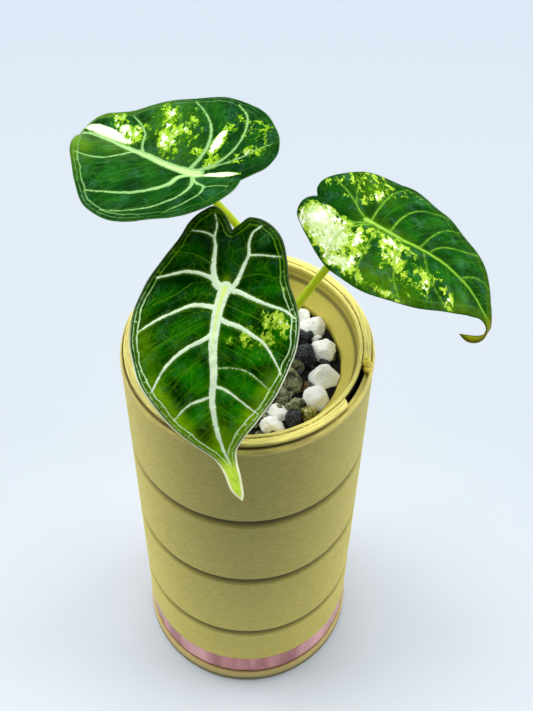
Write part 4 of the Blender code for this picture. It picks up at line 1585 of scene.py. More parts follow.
FRONT_PALETTE = LeafPalette(
    name="velvet_front", dark=(0, 34, 0), mid=(18, 108, 0), net=(104, 160, 20), vein=(222, 244, 208),
    core=(222, 246, 140), core_depth=0.85, margin=(206, 238, 180), cream_from=0.36, hem=(240, 248, 218),
    hem_from=(4.0, 26.0), hem_width=0.62, tip=(184, 220, 36), tip_side=(250, 254, 210),
)
LEFT_PALETTE = LeafPalette(
    name="velvet_left", dark=(0, 44, 2), mid=(14, 84, 10), net=(66, 126, 36), vein=(138, 182, 112),
    core=(180, 214, 138), core_depth=0.5, margin=(130, 182, 108), hem=(60, 110, 30), margin_share=0.6,
    painted_sheen=(62, 120, 92), painted_sheen_share=0.36, streak_turn=-50.0, cream_from=0.29, splash=(146, 188, 36),
    cream=(234, 242, 208),
)
RIGHT_PALETTE = LeafPalette(
    name="velvet_right", dark=(0, 46, 0), mid=(16, 94, 6), net=(70, 134, 24), vein=(116, 166, 44),
    core=(166, 204, 84), core_depth=0.3, margin=(96, 146, 30), hem=(40, 90, 14), tip=(150, 154, 22),
    tip_side=(104, 100, 14), margin_share=0.3, painted_sheen=(86, 144, 116), painted_sheen_share=0.36, cream_from=0.3,
    streak_turn=-60.0, wide_share=1.0,
)

FRONT_LEAF = Leaf(
    name="front",
    joint=(-7.4, -13.5, 246.0), heading=-87.0, pitch=31.0, bend=0.40, bend_back=0.45,
    curl_from=60.0, curl=0.0, curl_limit=90.0, roll=0.0, twist=0.0,
    fold=0.12, fold_back=0.45, fold_width=9.0, droop_left=0.004, droop_right=0.004,
    spine=((-30, 5), (-20, 3.4), (-10, 1.6), (0, 0), (11, -3), (18, -4.8), (27, -5.2),
           (36, -5.6), (44, -4.8), (50, -3.8), (55, -2.6), (61, -0.4), (67, 1), (73, 2.8)),
    left=((-20, 0), (-21.5, 2.2), (-23.5, 5), (-23, 8), (-20.5, 12.5), (-15.5, 17), (-9, 19.5),
          (-1, 21.2), (6.5, 25.3), (12.5, 27.8), (20.5, 28.2), (27, 25.8), (37, 20.8),
          (44, 14.5), (51, 7.4), (55, 4.2), (59, 2.8), (66, 2.2), (71, 1.2)),
    right=((-20, 0), (-23.5, -2), (-26.5, -4.4), (-28, -7.2), (-26.5, -10.5), (-23, -14.2),
           (-17, -17.2), (-10, -22), (-3, -26.5), (4.5, -28.8), (11, -28.8), (16, -28),
           (21, -27), (29, -25.2), (36.5, -21), (46, -15), (52, -9.3), (57.5, -4.2),
           (62.5, -3), (70.5, -1.9)),
    tip=73.5, base=(-2.3, -1.5), rise=20.0, lean=(0.0, -0.22), approach=16.0, arrival=(0.0, -0.5, 0.86),
    palette=FRONT_PALETTE,
    veins=(
        Vein(((1.0, 0), (3.4, -0.4), (9, -0.6)), 1.9, 1.6),
        Vein(((0, 0), (4.5, -0.6), (10, -0.6), (16.5, 0), (24, 0.2), (32, 0.2), (37, -0.3), (44, -0.5),
              (50, -0.3)), 2.2, 0.72),
        Vein(((49, -0.3), (54, 0), (58, 0.2), (66, 0)), 0.74, 0.16),
        Vein(((0, -0.5), (-1, -2.6), (-4.9, -4.4), (-9.8, -4.7), (-14.2, -4.9), (-17, -5.6), (-21, -5.2),
              (-25.2, -6.4)), 1.5, 0.1),
        Vein(((-17, -5.7), (-18.4, -8.4), (-19.3, -13.2)), 0.36, 0.14),
        Vein(((0.6, -1), (-3.3, -4.8), (-5, -8.9), (-5.8, -14.1), (-5.2, -18.2), (-4.4, -23)),
             0.95, 0.24),
        Vein(((6.6, -1.2), (5.7, -4.8), (5.4, -9.9), (7.2, -14.8), (9.4, -19.8), (13.2, -25.4)),
             0.86, 0.26),
        Vein(((14.8, -0.3), (16.4, -2.4), (19.4, -8.5), (22.7, -12.9), (26.2, -16.2), (29.4, -18.1),
              (33.3, -20)), 0.92, 0.24),
        Vein(((35.7, -0.3), (36.4, -2.6), (37.8, -7.1), (40.2, -10.7), (43.3, -13.8)), 0.56, 0.2),
        Vein(((1.3, 1.3), (-0.3, 2.7), (-6.7, 5.3), (-10.3, 6.6), (-14.3, 6.2), (-18.2, 7.3), (-20, 9.7)),
             1.05, 0.22),
        Vein(((-10.3, 6.6), (-10.1, 10.9), (-9.3, 17.4)), 0.34, 0.16),
        Vein(((0.8, 1.5), (1.4, 4.1), (4.1, 10.2), (6.5, 16.3), (8, 21.1), (10.9, 25.8)), 0.9, 0.24),
        Vein(((10, 0.1), (11.5, 3.2), (13, 7.4), (15.9, 12.5), (18.8, 16.7), (22.8, 19.5), (26.8, 21.4),
              (29.6, 22.6)), 0.9, 0.26),
        Vein(((26.4, 0.6), (26.6, 6.8), (27.9, 11.2), (30.9, 15.1), (34.7, 19)), 0.14, 0.06),
        Vein(((32.4, 0.6), (33.3, 3.5), (36.6, 7.9), (39.8, 11.3), (42.2, 14)), 0.54, 0.2),
    ),
    thin_veins=(
        ((22, 0), (23.5, -4.5), (28, -10), (34, -14.5)), ((28, 0), (30, -4), (34, -8.6), (38, -12)),
        ((42, -0.5), (44, -4), (47.5, -7.6)), ((46, -0.4), (48, -2.6), (51, -5)),
        ((5, 0.6), (7.6, 6), (10.6, 13), (14.4, 20.6)), ((18, 0.3), (20.4, 6), (24.6, 13)),
        ((38, 0), (40, 3), (43.4, 6.6)), ((44, 0), (46, 2.4), (49, 4.8)),
        ((-2, -11), (2, -17), (4.6, -23)), ((-8, -5), (-11, -11), (-12.4, -17.6)),
        ((10, -1), (12, -7), (15.6, -14), (20, -20.6)), ((-3, 4), (-4, 10), (-2.4, 17)),
    ),
    pale=(
        Spot(11.6, 20.2, 6, 4.4, 60, 0.86), Spot(17, 15.4, 6, 3.6, 50, 0.6), Spot(17.4, 8, 6, 3, 80, 0.5),
        Spot(0.8, 18.3, 4, 2.6, 60, 0.5), Spot(22, 12, 5, 2, 60, 0.36),
    ),
    glow=(
        Spot(19.4, -22.4, 7, 3, 20, 0.3), Spot(34.5, -17.4, 6, 2.4, 32, 0.7),
        Spot(44.3, -11.4, 6, 2.4, 38, 0.9), Spot(43.4, 11.2, 7, 2.4, -38, 0.75),
        Spot(34.8, 17.2, 7, 2.2, -32, 0.5), Spot(52, 0, 7, 5, 0, 0.7), Spot(-1.4, 0, 2.4, 1.4, 0, 0.7),
    ),
    light=(0.1, 0.0135, 0.007),
)

LEFT_LEAF = Leaf(
    name="left",
    joint=(-18.4, 17.7, 268.0), heading=140.0, pitch=9.0, bend=0.12, bend_back=-0.2,
    curl_from=48.0, curl=3.3, curl_limit=110.0, roll=-5.0, twist=0.1,
    fold=0.35, fold_back=0.5, fold_width=18.0, droop_left=0.0045, droop_right=0.0012,
    spine=((-30, -9), (-19, -5.8), (-10, -2.6), (0, 0), (40, 0), (70, 0)),
    left=((-17.4, 0), (-19.5, 4), (-21, 9), (-20, 17.5), (-14.7, 22.3), (-5.7, 25.6),
          (4.5, 29), (12, 30.6), (21, 29.8), (30.5, 24.6), (40.5, 17.2), (46.5, 12),
          (50, 8), (53, 4.4), (56, 1.8)),
    right=((-17.4, 0), (-20.5, -2), (-23.6, -4.4), (-24.8, -9), (-22.5, -14.7), (-17, -21),
           (-8, -29), (2.6, -34.4), (11.5, -34.6), (19, -31.6), (26, -27), (35.5, -19.5),
           (41, -13.8), (46, -11.4), (50, -9.8), (53, -7.6), (55.5, -4.6), (57.5, -1.6)),
    tip=60.0, base=(-0.1, 4.4), rise=42.0, lean=(0.21, 0.31), approach=26.0, arrival=(-0.56, 0.0, 0.9),
    palette=LEFT_PALETTE,
    veins=(
        Vein(((-2, 0.3), (3, 0.1), (7, 0)), 2.4, 1.4),
        Vein(((-1, 0.2), (6.7, 0.1), (21, -0.2), (30, 0.4), (39, 0), (50, -0.2), (58, 0)), 1.9, 0.5),
        Vein(((-1, 1), (1.5, 3.8), (1.6, 9.6), (4.7, 13.9), (10.9, 18.6), (19.1, 22.5), (25.1, 25)),
             1.3, 0.14),
        Vein(((-1.4, 1.2), (-2.8, 3), (-6.1, 8.5), (-6.3, 14.2), (-3.2, 18.5), (4.1, 23.8), (14.1, 28.6)),
             0.7, 0.08),
        Vein(((-2, 2), (-5, 5), (-10.7, 8), (-12.2, 12.3), (-11, 17), (-7, 22.4)), 0.7, 0.05),
        Vein(((-10.7, 8), (-13.5, 6.3), (-17.6, 6.4)), 0.22, 0.1),
        Vein(((26, 0.6), (27.5, 4.1), (31.8, 10), (38.2, 12.3), (43.3, 12.6)), 0.5, 0.14),
        Vein(((22.6, -0.6), (24.6, -2.5), (27, -6.8), (31.5, -9.6), (38, -12)), 0.62, 0.14),
        Vein(((1.8, -0.5), (0.9, -6.5), (2.4, -13.3), (6.9, -19.9), (13.6, -24.8), (21, -28)),
             0.85, 0.14),
        Vein(((-1.1, -1.2), (-6.3, -5), (-8.9, -11), (-7.1, -19.6), (-1, -28.6), (5, -32.6)), 0.6, 0.16),
        Vein(((-1.3, -1), (-7.7, -4.7), (-13.1, -7.5), (-17, -10.9), (-20.5, -13.5)), 0.42, 0.1),
    ),
    thin_veins=(
        ((9, 0.4), (10, 5.6), (13.4, 11.6), (19, 17), (25, 20.4)),
        ((15.8, 0.4), (16.4, 6), (19, 11.6), (24.6, 16.6), (31, 19.4)),
        ((21, 0.4), (22.6, 5), (27, 10.6), (33, 14.6)), ((34, 0.4), (36, 3.6), (41, 7.4), (46, 9.4)),
        ((42, 0.2), (44, 2.4), (48, 4.6)), ((-4, 12), (0, 19), (8, 25.6)),
        ((-10, 12), (-14, 14), (-16.6, 16)), ((10, -0.6), (11, -7), (15, -14.6), (22, -20.6)),
        ((16, -0.6), (18, -5.6), (23, -11.6), (30, -16.4)),
        ((33, -0.4), (35.6, -3.6), (41, -6.8), (47, -8.6)), ((-8, -14), (-12, -20), (-13.4, -23.4)),
        ((0.6, -9), (-3, -15), (-2, -23), (3, -28.6)),
    ),
    pale=(
        Spot(44.5, -2.4, 10, 1.8, -2, 1.9, True), Spot(37, -1.5, 6, 0.9, 0, 1.6),
        Spot(31, -6, 5.6, 4.8, -30, 0.68), Spot(43, -9, 9, 3.4, -26, 0.68),
        Spot(36.6, -5.6, 3.0, 2.0, 0, 0.9), Spot(17, -7.4, 8, 5, -30, 0.7),
        Spot(11.4, -13.6, 7, 3.4, -50, 0.64), Spot(22, -15, 9, 5, -40, 0.53),
        Spot(16, -23, 8, 4, -35, 0.44), Spot(27, -20.4, 8, 3, -35, 0.44),
        Spot(-0.5, -14, 6, 1.5, 100, 1.5), Spot(-1.5, -12, 7, 3.4, 100, 0.6),
        Spot(4, -7, 5, 2.4, -70, 0.5), Spot(-11, -21, 8, 5, -50, 0.5), Spot(-2, -23.6, 6, 4, -60, 0.42),
        Spot(-19.4, -9.4, 4, 4, 0, 0.62), Spot(-13, -8, 5, 3, 30, 0.54),
        Spot(-10, -0.8, 7.0, 0.9, 8, 1.5, True), Spot(-4.4, -4, 4, 2, 40, 0.6),
        Spot(33, 3, 14, 2, 0, 0.2),
    ),
    glow=(
        Spot(44, 9, 9, 3, -35, 0.3), Spot(20, -14, 16, 8, -40, 0.12), Spot(36, 4, 12, 4, 0, 0.15),
    ),
    light=(0.3, 0.002, 0.0), rim_right=0.45, pale_tip=(57.0, 60.0),
)

RIGHT_LEAF = Leaf(
    name="right",
    joint=(41.5, 15.6, 248.0), heading=-34.0, pitch=6.0, bend=0.49, bend_back=0.41,
    curl_from=51.0, curl=7.0, curl_limit=178.0, roll=0.0, twist=-0.05,
    fold=0.12, fold_back=0.5, fold_width=9.0, droop_left=0.0081, droop_right=0.0059,
    spine=((-30, 0), (0, 0), (15, 0.8), (23, 2.2), (31, 3), (38.5, 2.6), (45, 1),
           (52, -1.9), (60, -3), (80, -3)),
    left=((-20.5, 0), (-22, 2.2), (-22.2, 5), (-20.5, 9.2), (-17, 13.5), (-11.5, 18.6),
          (-6.5, 23), (1, 26.4), (10.5, 26.2), (20.5, 22.4), (29.5, 17.4), (38, 14.4),
          (44.5, 12), (49, 8.8), (52, 4.8), (55, 2), (62, 1.6), (70, 1.3)),
    right=((-20.5, 0), (-22, -3.5), (-22.5, -7), (-21, -12.5), (-17, -16.5), (-11.5, -20.5),
           (-3.5, -24), (4.5, -25.4), (13, -25.6), (23.5, -24.4), (32.5, -20.6),
           (41.5, -14), (48, -6.6), (52, -2.8), (56, -1.7), (63, -1.5), (70, -1.3)),
    tip=73.0, base=(4.1, 0.4), rise=26.0, lean=(0.58, 0.43), approach=10.0, arrival=(0.61, -0.03, 0.9),
    palette=RIGHT_PALETTE,
    veins=(
        Vein(((-0.6, 0), (3, 0), (8, 0)), 1.1, 0.5),
        Vein(((0, 0), (12, 0), (24, 0.1), (38, 0), (54, 0.2), (72, 0)), 0.85, 0.2),
        Vein(((0.5, -0.2), (-3.2, 1.3), (-7.4, 3.9), (-13.7, 6.9), (-18.6, 8.4)), 0.4, 0.1),
        Vein(((-7.1, 4), (-10.1, 10.7), (-11, 16.4)), 0.18, 0.08),
        Vein(((1, 0.6), (0.3, 8.7), (0.9, 19.8), (3, 25)), 0.32, 0.08),
        Vein(((8.6, 0.4), (9, 9.1), (11.9, 16.6), (17.4, 20), (22, 21)), 0.32, 0.08),
        Vein(((20.2, 0.4), (21, 7.1), (23.6, 13.8), (28.4, 17.2)), 0.26, 0.08),
        Vein(((23.7, 0.4), (25.5, 4.7), (29.5, 8), (34.6, 11), (38, 13.6)), 0.26, 0.08),
        Vein(((37.7, 0.2), (39.8, 3.4), (44.7, 7.3), (48, 8.4)), 0.2, 0.07),
        Vein(((0.5, -0.6), (-3.4, -4.2), (-9.7, -5.2), (-17.4, -4.6)), 0.36, 0.1),
        Vein(((1.8, -0.7), (-1.8, -4.8), (-3.6, -8.9), (-4.6, -14.6), (-3, -22.6)), 0.3, 0.08),
        Vein(((5.1, -0.6), (5.2, -7.6), (6.2, -13.7), (7.4, -19.2), (11, -24.6)), 0.3, 0.08),
        Vein(((13.6, -0.6), (16.8, -11.4), (21.3, -18.6), (26, -22.6)), 0.26, 0.08),
        Vein(((21.9, -0.3), (27.4, -7.3), (35, -12.4), (41, -14)), 0.22, 0.08),
    ),
    thin_veins=(
        ((14, 0.4), (15.6, 7), (19.4, 13.6), (24.6, 18)), ((30, 0.4), (32.4, 4.6), (38, 9), (42, 11.4)),
        ((4, 0.5), (4.8, 10), (8.4, 19.6), (12, 24.6)), ((-4, 5), (-5, 12), (-4.4, 20.6)),
        ((9, -0.5), (11.4, -9), (15.6, -17), (19.6, -22.6)), ((17, -0.4), (22, -9), (29.6, -16.4)),
        ((29, -0.3), (34, -6), (42, -9.8)), ((-7, -5.2), (-11, -11), (-12.4, -17.6)),
        ((44, 0.2), (46.6, 2.6), (50, 4.4)), ((38, -0.2), (42, -3.6), (48, -5.6)),
    ),
    pale=(
        Spot(-13.6, -10.6, 8.6, 6.8, 40, 1.35), Spot(-5.4, -17, 7.6, 5.0, 30, 0.9),
        Spot(1, -20.8, 6, 3.6, 20, 0.7), Spot(-19, -5, 5, 3, 0, 0.5), Spot(3.6, -10.8, 9, 4.6, -76, 0.62),
        Spot(-3, -10, 5, 4, 80, 0.5), Spot(12, -8.8, 9, 3.8, -66, 0.62),
        Spot(20, -11.6, 11, 3.8, -58, 0.7), Spot(29.4, -12.4, 9, 3.2, -45, 0.7),
        Spot(38, -11, 8, 2.6, -36, 0.64), Spot(14, -22.6, 16, 2.6, -4, 0.54),
        Spot(9.6, -3.4, 12, 2.2, 0, 0.34), Spot(-12.4, 12, 7, 5, -40, 0.66),
        Spot(-5.4, 19, 8, 4.6, -50, 0.56), Spot(-2.4, 10, 6, 3.8, 80, 0.58),
        Spot(4.6, 21.6, 7, 4.4, 20, 0.54), Spot(-18.6, 7, 4, 3, 0, 0.6), Spot(-12, 3.9, 7, 1.0, 10, 0.6),
        Spot(-11, 0.0, 10, 2.6, 0, -1.4),
    ),
    glow=(
        Spot(18, -20, 18, 5, -10, 0.22), Spot(-8, 15, 10, 6, -30, 0.22), Spot(44, -8, 8, 4, 30, 0.15),
        Spot(6, 0, 8, 2.6, 0, 0.4),
    ),
    light=(0.3, 0.002, 0.0), pale_tip=(52.0, 58.0),
)
LEAVES = (FRONT_LEAF, LEFT_LEAF, RIGHT_LEAF)


class BladeForm:
    """The bent surface of one blade, as a map from flat (x, v) to a point in mm."""

    def __init__(self, leaf: Leaf) -> None:
        """Add up the midrib's steps ahead and down from its slope.

        Args:
            leaf: the leaf whose blade it is.
        """
        self.leaf = leaf
        heading = math.radians(leaf.heading)
        self.forward = np.array([math.cos(heading), math.sin(heading), 0.0])
        self.side = np.array([-math.sin(heading), math.cos(heading), 0.0])
        self.up = np.array([0.0, 0.0, 1.0])
        self.run = np.linspace(*RUN, RUN_STEPS)
        self.slope = self.slope_at(self.run)
        step = self.run[1] - self.run[0]
        ahead, drop = np.cumsum(np.cos(self.slope)) * step, np.cumsum(np.sin(self.slope)) * step
        self.ahead = ahead - np.interp(0.0, self.run, ahead)
        self.drop = drop - np.interp(0.0, self.run, drop)

    def slope_at(self, x: Array) -> Array:
        """Downward slope of the midrib.

        Args:
            x: flat positions along it.

        Returns:
            The slopes, in radians.
        """
        leaf = self.leaf
        bend = np.where(x >= 0.0, leaf.bend, leaf.bend_back)
        degrees = leaf.pitch + bend * x + leaf.curl * np.clip(x - leaf.curl_from, 0.0, None)
        return np.radians(np.clip(degrees, STEEPEST_RISE, leaf.curl_limit))

    def frame(self, x: Array) -> tuple[Array, Array, Array]:
        """The blade's own directions along the midrib.

        Args:
            x: flat positions along it.

        Returns:
            The midrib's points, the sideways directions and the normals.
        """
        leaf = self.leaf
        slope = np.interp(x, self.run, self.slope)[..., None]
        ahead = np.interp(x, self.run, self.ahead)[..., None]
        drop = np.interp(x, self.run, self.drop)[..., None]
        middle = np.array(leaf.joint) + ahead * self.forward - drop * self.up
        normal = np.sin(slope) * self.forward + np.cos(slope) * self.up
        roll = np.radians(leaf.roll + leaf.twist * x)[..., None]
        side = np.cos(roll) * self.side + np.sin(roll) * normal
        return middle, side, np.cos(roll) * normal - np.sin(roll) * self.side

    def point(self, x: Array, v: Array, lift: Array) -> Array:
        """Point at flat (x, v), lifted by some millimetres from the even upper face.

        A cross-section rises from the midrib to both sides as a fold that levels
        out, and droops with the square of the distance.

        Args:
            x: flat positions along the midrib.
            v: flat positions across it.
            lift: heights over the even face.

        Returns:
            The points.
        """
        leaf = self.leaf
        middle, side, normal = self.frame(x)
        away = np.abs(v)
        fold = leaf.fold + (leaf.fold_back - leaf.fold) * np.clip(-x / BACK_REACH, 0.0, 1.0)
        droop = np.where(v >= 0.0, leaf.droop_left, leaf.droop_right)
        height = fold * leaf.fold_width * (1.0 - np.exp(-away / leaf.fold_width)) - droop * v * v + lift
        return middle + (v + smooth_value(leaf.spine, x))[..., None] * side + height[..., None] * normal


@dataclass
class Blade(Assembly):
    """One blade: quilted upper face, veined underside and a thin rounded margin.

    Lines are split at `outline_step`, `vein_step` and `thin_step`, and a thin vein
    is measured up to `thin_reach` from its box. `quilt` is how far the skin swells
    between the veins.
    """

    leaf: Leaf = FRONT_LEAF
    around: int = 600
    rings: int = 96
    under_rings: int = 20
    quilt: float = 0.62
    thickness: float = 0.75
    outline_step: float = 0.35
    vein_step: float = 0.9
    thin_step: float = 1.2
    thin_reach: float = 1.5

    def outline(self) -> Array:
        """Closed flat outline, from the notch round to the tip and back.

        Returns:
            Its evenly spaced points.
        """
        left, right = (smooth_line([*side, (self.leaf.tip, 0.0)], self.outline_step)
                       for side in (self.leaf.left, self.leaf.right))
        loop = np.concatenate([right, left[-2::-1]])
        run = np.concatenate(([0.0], np.cumsum(np.linalg.norm(np.diff(loop, axis=0), axis=1))))
        at = np.linspace(0.0, run[-1], self.around, endpoint=False)
        return np.stack([np.interp(at, run, loop[:, k]) for k in range(2)], axis=1)

    def numbers(self, flat: Array, outline: Array) -> dict[str, Array]:
        """Distances and patch strengths, for the form and for the finish.

        Args:
            flat: flat points.
            outline: the blade's flat outline.

        Returns:
            Numbers for each point, by name.
        """
        leaf = self.leaf
        x, v = flat[:, 0], flat[:, 1]
        vein = np.full(len(flat), FAR)
        for knots in leaf.veins:
            line = smooth_line(knots.points, self.vein_step)
            vein = np.minimum(vein, line_distance(flat, line, (knots.start, knots.end))[0])
        thin = np.full(len(flat), FAR)
        for points in leaf.thin_veins:
            line = smooth_line(points, self.thin_step)
            low, high = line.min(axis=0) - self.thin_reach, line.max(axis=0) + self.thin_reach
            near = (flat >= low).all(axis=1) & (flat <= high).all(axis=1)
            thin[near] = np.minimum(thin[near], line_distance(flat[near], line)[0])
        edge, along = line_distance(flat, np.concatenate([outline, outline[:1]]))
        low, high = leaf.pale_tip
        share = np.clip((x - low) / (high - low), 0.0, 1.0)
        found = {"vein": vein, "thin": thin, "edge": edge, "along": along,
                 "tip": share * share * (3.0 - 2.0 * share)}
        for key, spots in (("pale", leaf.pale), ("glow", leaf.glow)):
            found[key] = sum((spot.share(x, v) for spot in spots), np.zeros(len(flat)))
        found["glow"] = np.clip(found["glow"], 0.0, 1.0)
        found["rim"] = np.clip((leaf.tip - 6.0 - x) / 12.0, 0.0, 1.0)
        found["rim"] *= np.where(v < 0.0, leaf.rim_right, 1.0)
        found["rim"] *= 0.6 + 0.4 * np.clip((x + 16.0) / 20.0, 0.0, 1.0)
        # Share of lighter green, with painted light and shade across the blade.
        found["light"] = np.clip(leaf.light[0] + leaf.light[1] * x + leaf.light[2] * v, 0.0, 1.0)
        return found

    @staticmethod
    def shrunk(outline: Array, sizes: Array) -> Array:
        """The outline in several sizes, one after the other, and then the joint in their middle."""
        return np.concatenate([(sizes[:, None, None] * outline).reshape(-1, 2), np.zeros((1, 2))])

    def lift(self, flat: Array, found: dict[str, Array]) -> Array:
        """Height of the upper face over the even one.

        It swells away from the main veins, dips a little at the fine ones, waves
        along the margin, and turns down over the last millimetre before it.

        Args:
            flat: flat points.
            found: their numbers.

        Returns:
            The heights.
        """
        open_skin = 1.0 - np.exp(-np.clip(found["vein"], 0.0, None) / 2.4)
        dips = 0.16 * np.exp(-((found["thin"] / 0.5) ** 2))
        body = 0.22 * np.sqrt(np.clip(-found["vein"] / 1.6, 0.0, 1.0))
        calm = 1.0 - np.exp(-found["edge"] / 2.0)
        uneven = soft_noise(np.column_stack([flat * 0.42, np.zeros(len(flat))]), 7.0) * 0.14
        wave = np.sin(found["along"] * 2.0 * math.pi / 19.0) + 0.6 * np.sin(found["along"] / 4.3 + 1.0)
        fringe = 0.34 * wave * np.exp(-found["edge"] / 3.4)
        return (self.quilt * open_skin + uneven - dips) * calm + body + fringe * found["rim"] - 0.2

    def build(self) -> None:
        """Build the blade: rings that shrink from the outline to the petiole's joint, on both faces."""
        form, outline = BladeForm(self.leaf), self.outline()
        steps = np.linspace(1.0, 0.0, self.rings + 1)[:-1]
        steps = 1.0 - (1.0 - steps) * (0.82 + 0.18 * (1.0 - steps))
        upper = self.shrunk(outline, steps)
        lower = self.shrunk(outline, np.linspace(0.995, 0.0, self.under_rings + 1)[:-1])
        flat = np.concatenate([upper, lower])
        found = self.numbers(flat, outline)
        lift = self.lift(flat, found)
        below = np.arange(len(flat)) >= len(upper)
        depth = self.thickness * (0.45 + 0.55 * (1.0 - np.exp(-found["edge"] / 2.5)))
        ribs = 0.55 * np.exp(-np.clip(found["vein"], 0.0, None) / 0.7)
        ribs *= 1.0 - np.exp(-found["edge"] / 3.0)
        lift -= np.where(below, depth + ribs, 0.0)
        found["under"] = below.astype(float)
        points = form.point(flat[:, 0], flat[:, 1], lift)
        first_low = len(upper)
        top = rows_of_quads(self.rings, self.around)
        bottom = rows_of_quads(self.under_rings, self.around)[:, ::-1] + first_low
        ring = np.arange(self.around)
        beside = (ring + 1) % self.around
        hem = np.stack([ring, beside, first_low + beside, first_low + ring], axis=1)
        poles = first_low - 1, len(flat) - 1
        faces = [top, bottom, hem, cap(poles[0] - self.around, self.around, poles[0], first=False),
                 cap(poles[1] - self.around, self.around, poles[1], first=True)]
        if not self.faces_up(points, top):
            faces = [block[:, ::-1] for block in faces]
        shape = Shape()
        shape.add(points, faces, flat / UV_MM)
        skin = self.leaf.palette.make()
        self.piece(shape.mesh(f"leaf_{self.leaf.name}", found), skin, "velvet_green",
                   f"blade_{self.leaf.name}")

    @staticmethod
    def faces_up(points: Array, quads: Array) -> bool:
        """Whether most of a face's quads turn their fronts upwards."""
        a, b, c = (points[quads[:, k]] for k in range(3))
        return float(np.cross(b - a, c - b)[:, 2].sum()) > 0.0


@dataclass
class Stalk(Assembly):
    """Petiole: a tapering stalk with a sheath at its foot and a shallow groove along its front.

    It stands `socket` deep in the crown. It stops `under` the blade's upper face,
    where the last `neck` of it is straight.
    """

    leaf: Leaf = FRONT_LEAF
    crown_at: tuple[float, float] = CROWN_AT
    crown_top: float = CROWN_TOP
    socket: float = 6.0
    under: float = 1.2
    neck: float = 1.6
    step: float = 0.7
    sides: int = 28

    def path(self) -> Array:
        """Middle line of the stalk, from the crown to the blade's underside.

        Returns:
            Even points from bottom to top.
        """
        leaf = self.leaf
        foot = np.array([self.crown_at[0] + leaf.base[0], self.crown_at[1] + leaf.base[1],
                         self.crown_top - self.socket])
        lean = np.array([*leaf.lean, 1.0])
        leave = lean / np.linalg.norm(lean)
        _, _, normal = BladeForm(leaf).frame(np.zeros(1))
        end = np.array(leaf.joint) - normal[0] * self.under
        neck = end - normal[0] * self.neck
        start = foot + leave * (self.socket + 1.0)
        arrive = np.array(leaf.arrival) / np.linalg.norm(leaf.arrival)
        first, second = start + leave * leaf.rise, neck - arrive * leaf.approach
        t = np.linspace(0.0, 1.0, 60)[:, None]
        s = 1.0 - t
        curve = s**3 * start + 3 * s * s * t * first + 3 * s * t * t * second + t**3 * neck
        return smooth_line(np.concatenate([foot[None], curve, (end + normal[0] * 0.5)[None]]), self.step)

    def build(self) -> None:
        """Build the stalk: rings square to the path, turned so that none twists against the next."""
        path = self.path()
        count = len(path)
        tangent = np.gradient(path, axis=0)
        tangent /= np.linalg.norm(tangent, axis=1)[:, None]
        first = np.cross(tangent, (0.0, 1.0, 0.25))
        first /= np.linalg.norm(first, axis=1)[:, None]
        second = np.cross(tangent, first)
        share = np.linspace(0.0, 1.0, count)
        mm = share * np.linalg.norm(np.diff(path, axis=0), axis=1).sum()
        radius = 1.75 - 0.45 * share + 1.0 * np.exp(-mm / 9.0) + 0.5 * np.exp(-(mm[-1] - mm) / 1.4)
        angle = round_angles(self.sides)
        groove = 1.0 - 0.1 * np.exp(-(((np.arange(self.sides) - self.sides * 0.75) / 2.2) ** 2))
        cos, sin = np.cos(angle)[None, :, None], np.sin(angle)[None, :, None]
        ring = cos * first[:, None] + sin * second[:, None]
        where = np.stack(np.meshgrid(mm / 9.0, 1.3 * np.cos(angle), [0.0], indexing="ij"), axis=-1)
        lumpy = 1.0 + 0.03 * soft_noise(where[:, :, 0], 8.0)
        points = path[:, None] + ring * (radius[:, None] * groove[None] * lumpy)[..., None]
        flat = np.stack(np.meshgrid(share, np.abs(angle / math.pi - 1.0), indexing="ij")[::-1], axis=-1)
        points = np.concatenate([points.reshape(-1, 3), path[:1], path[-1:] + tangent[-1:] * 0.3])
        flat = np.concatenate([flat.reshape(-1, 2), [(0.5, 0.0), (0.5, 1.0)]])
        shape = Shape()
        shape.add(points, [block[:, ::-1] for block in closed_faces(count, self.sides)], flat)
        mesh = shape.mesh(f"stalk_{self.leaf.name}")
        self.piece(mesh, StalkSkin(f"stalk_{self.leaf.name}").make(), "stalk_green",
                   f"petiole_{self.leaf.name}")


@dataclass
class Crown(Assembly):
    """Short stem between the grains and the stalks, with a ring-shaped scar every `scar` millimetres."""

    at: tuple[float, float] = CROWN_AT
    top: float = CROWN_TOP
    radius: float = 7.0
    scar: float = 3.0

    def build(self) -> None:
        """Build the crown: a taper with papery rings, moved to its place beside the pot's axis."""
        corners = [(0.0, self.top), (4.6, self.top), (5.7, self.top - 1.2), (self.radius, 174.4),
                   (self.radius - 0.4, 174.0), (0.0, 174.0)]

        def rings(radius: Array, height: Array, angle: Array) -> Pair:
            """Overlapping scars, uneven round the stem and kept within its radius."""
            wander = 0.3 * soft_noise(round_place(angle, 1.6, height, self.scar), 9.0)
            depth = 0.3 * ((height / self.scar + wander) % 1.0) - 0.2
            return np.minimum(radius + depth * (radius > 3.0), self.radius), height

        stem = lathe(Profile(corners, fillet=0.6, step=0.35), round_angles(96), rings)
        stem.points[0][:, :2] += self.at
        self.piece(stem.mesh("crown_stem"), CrownSkin().make(), "crown_skin", "crown")


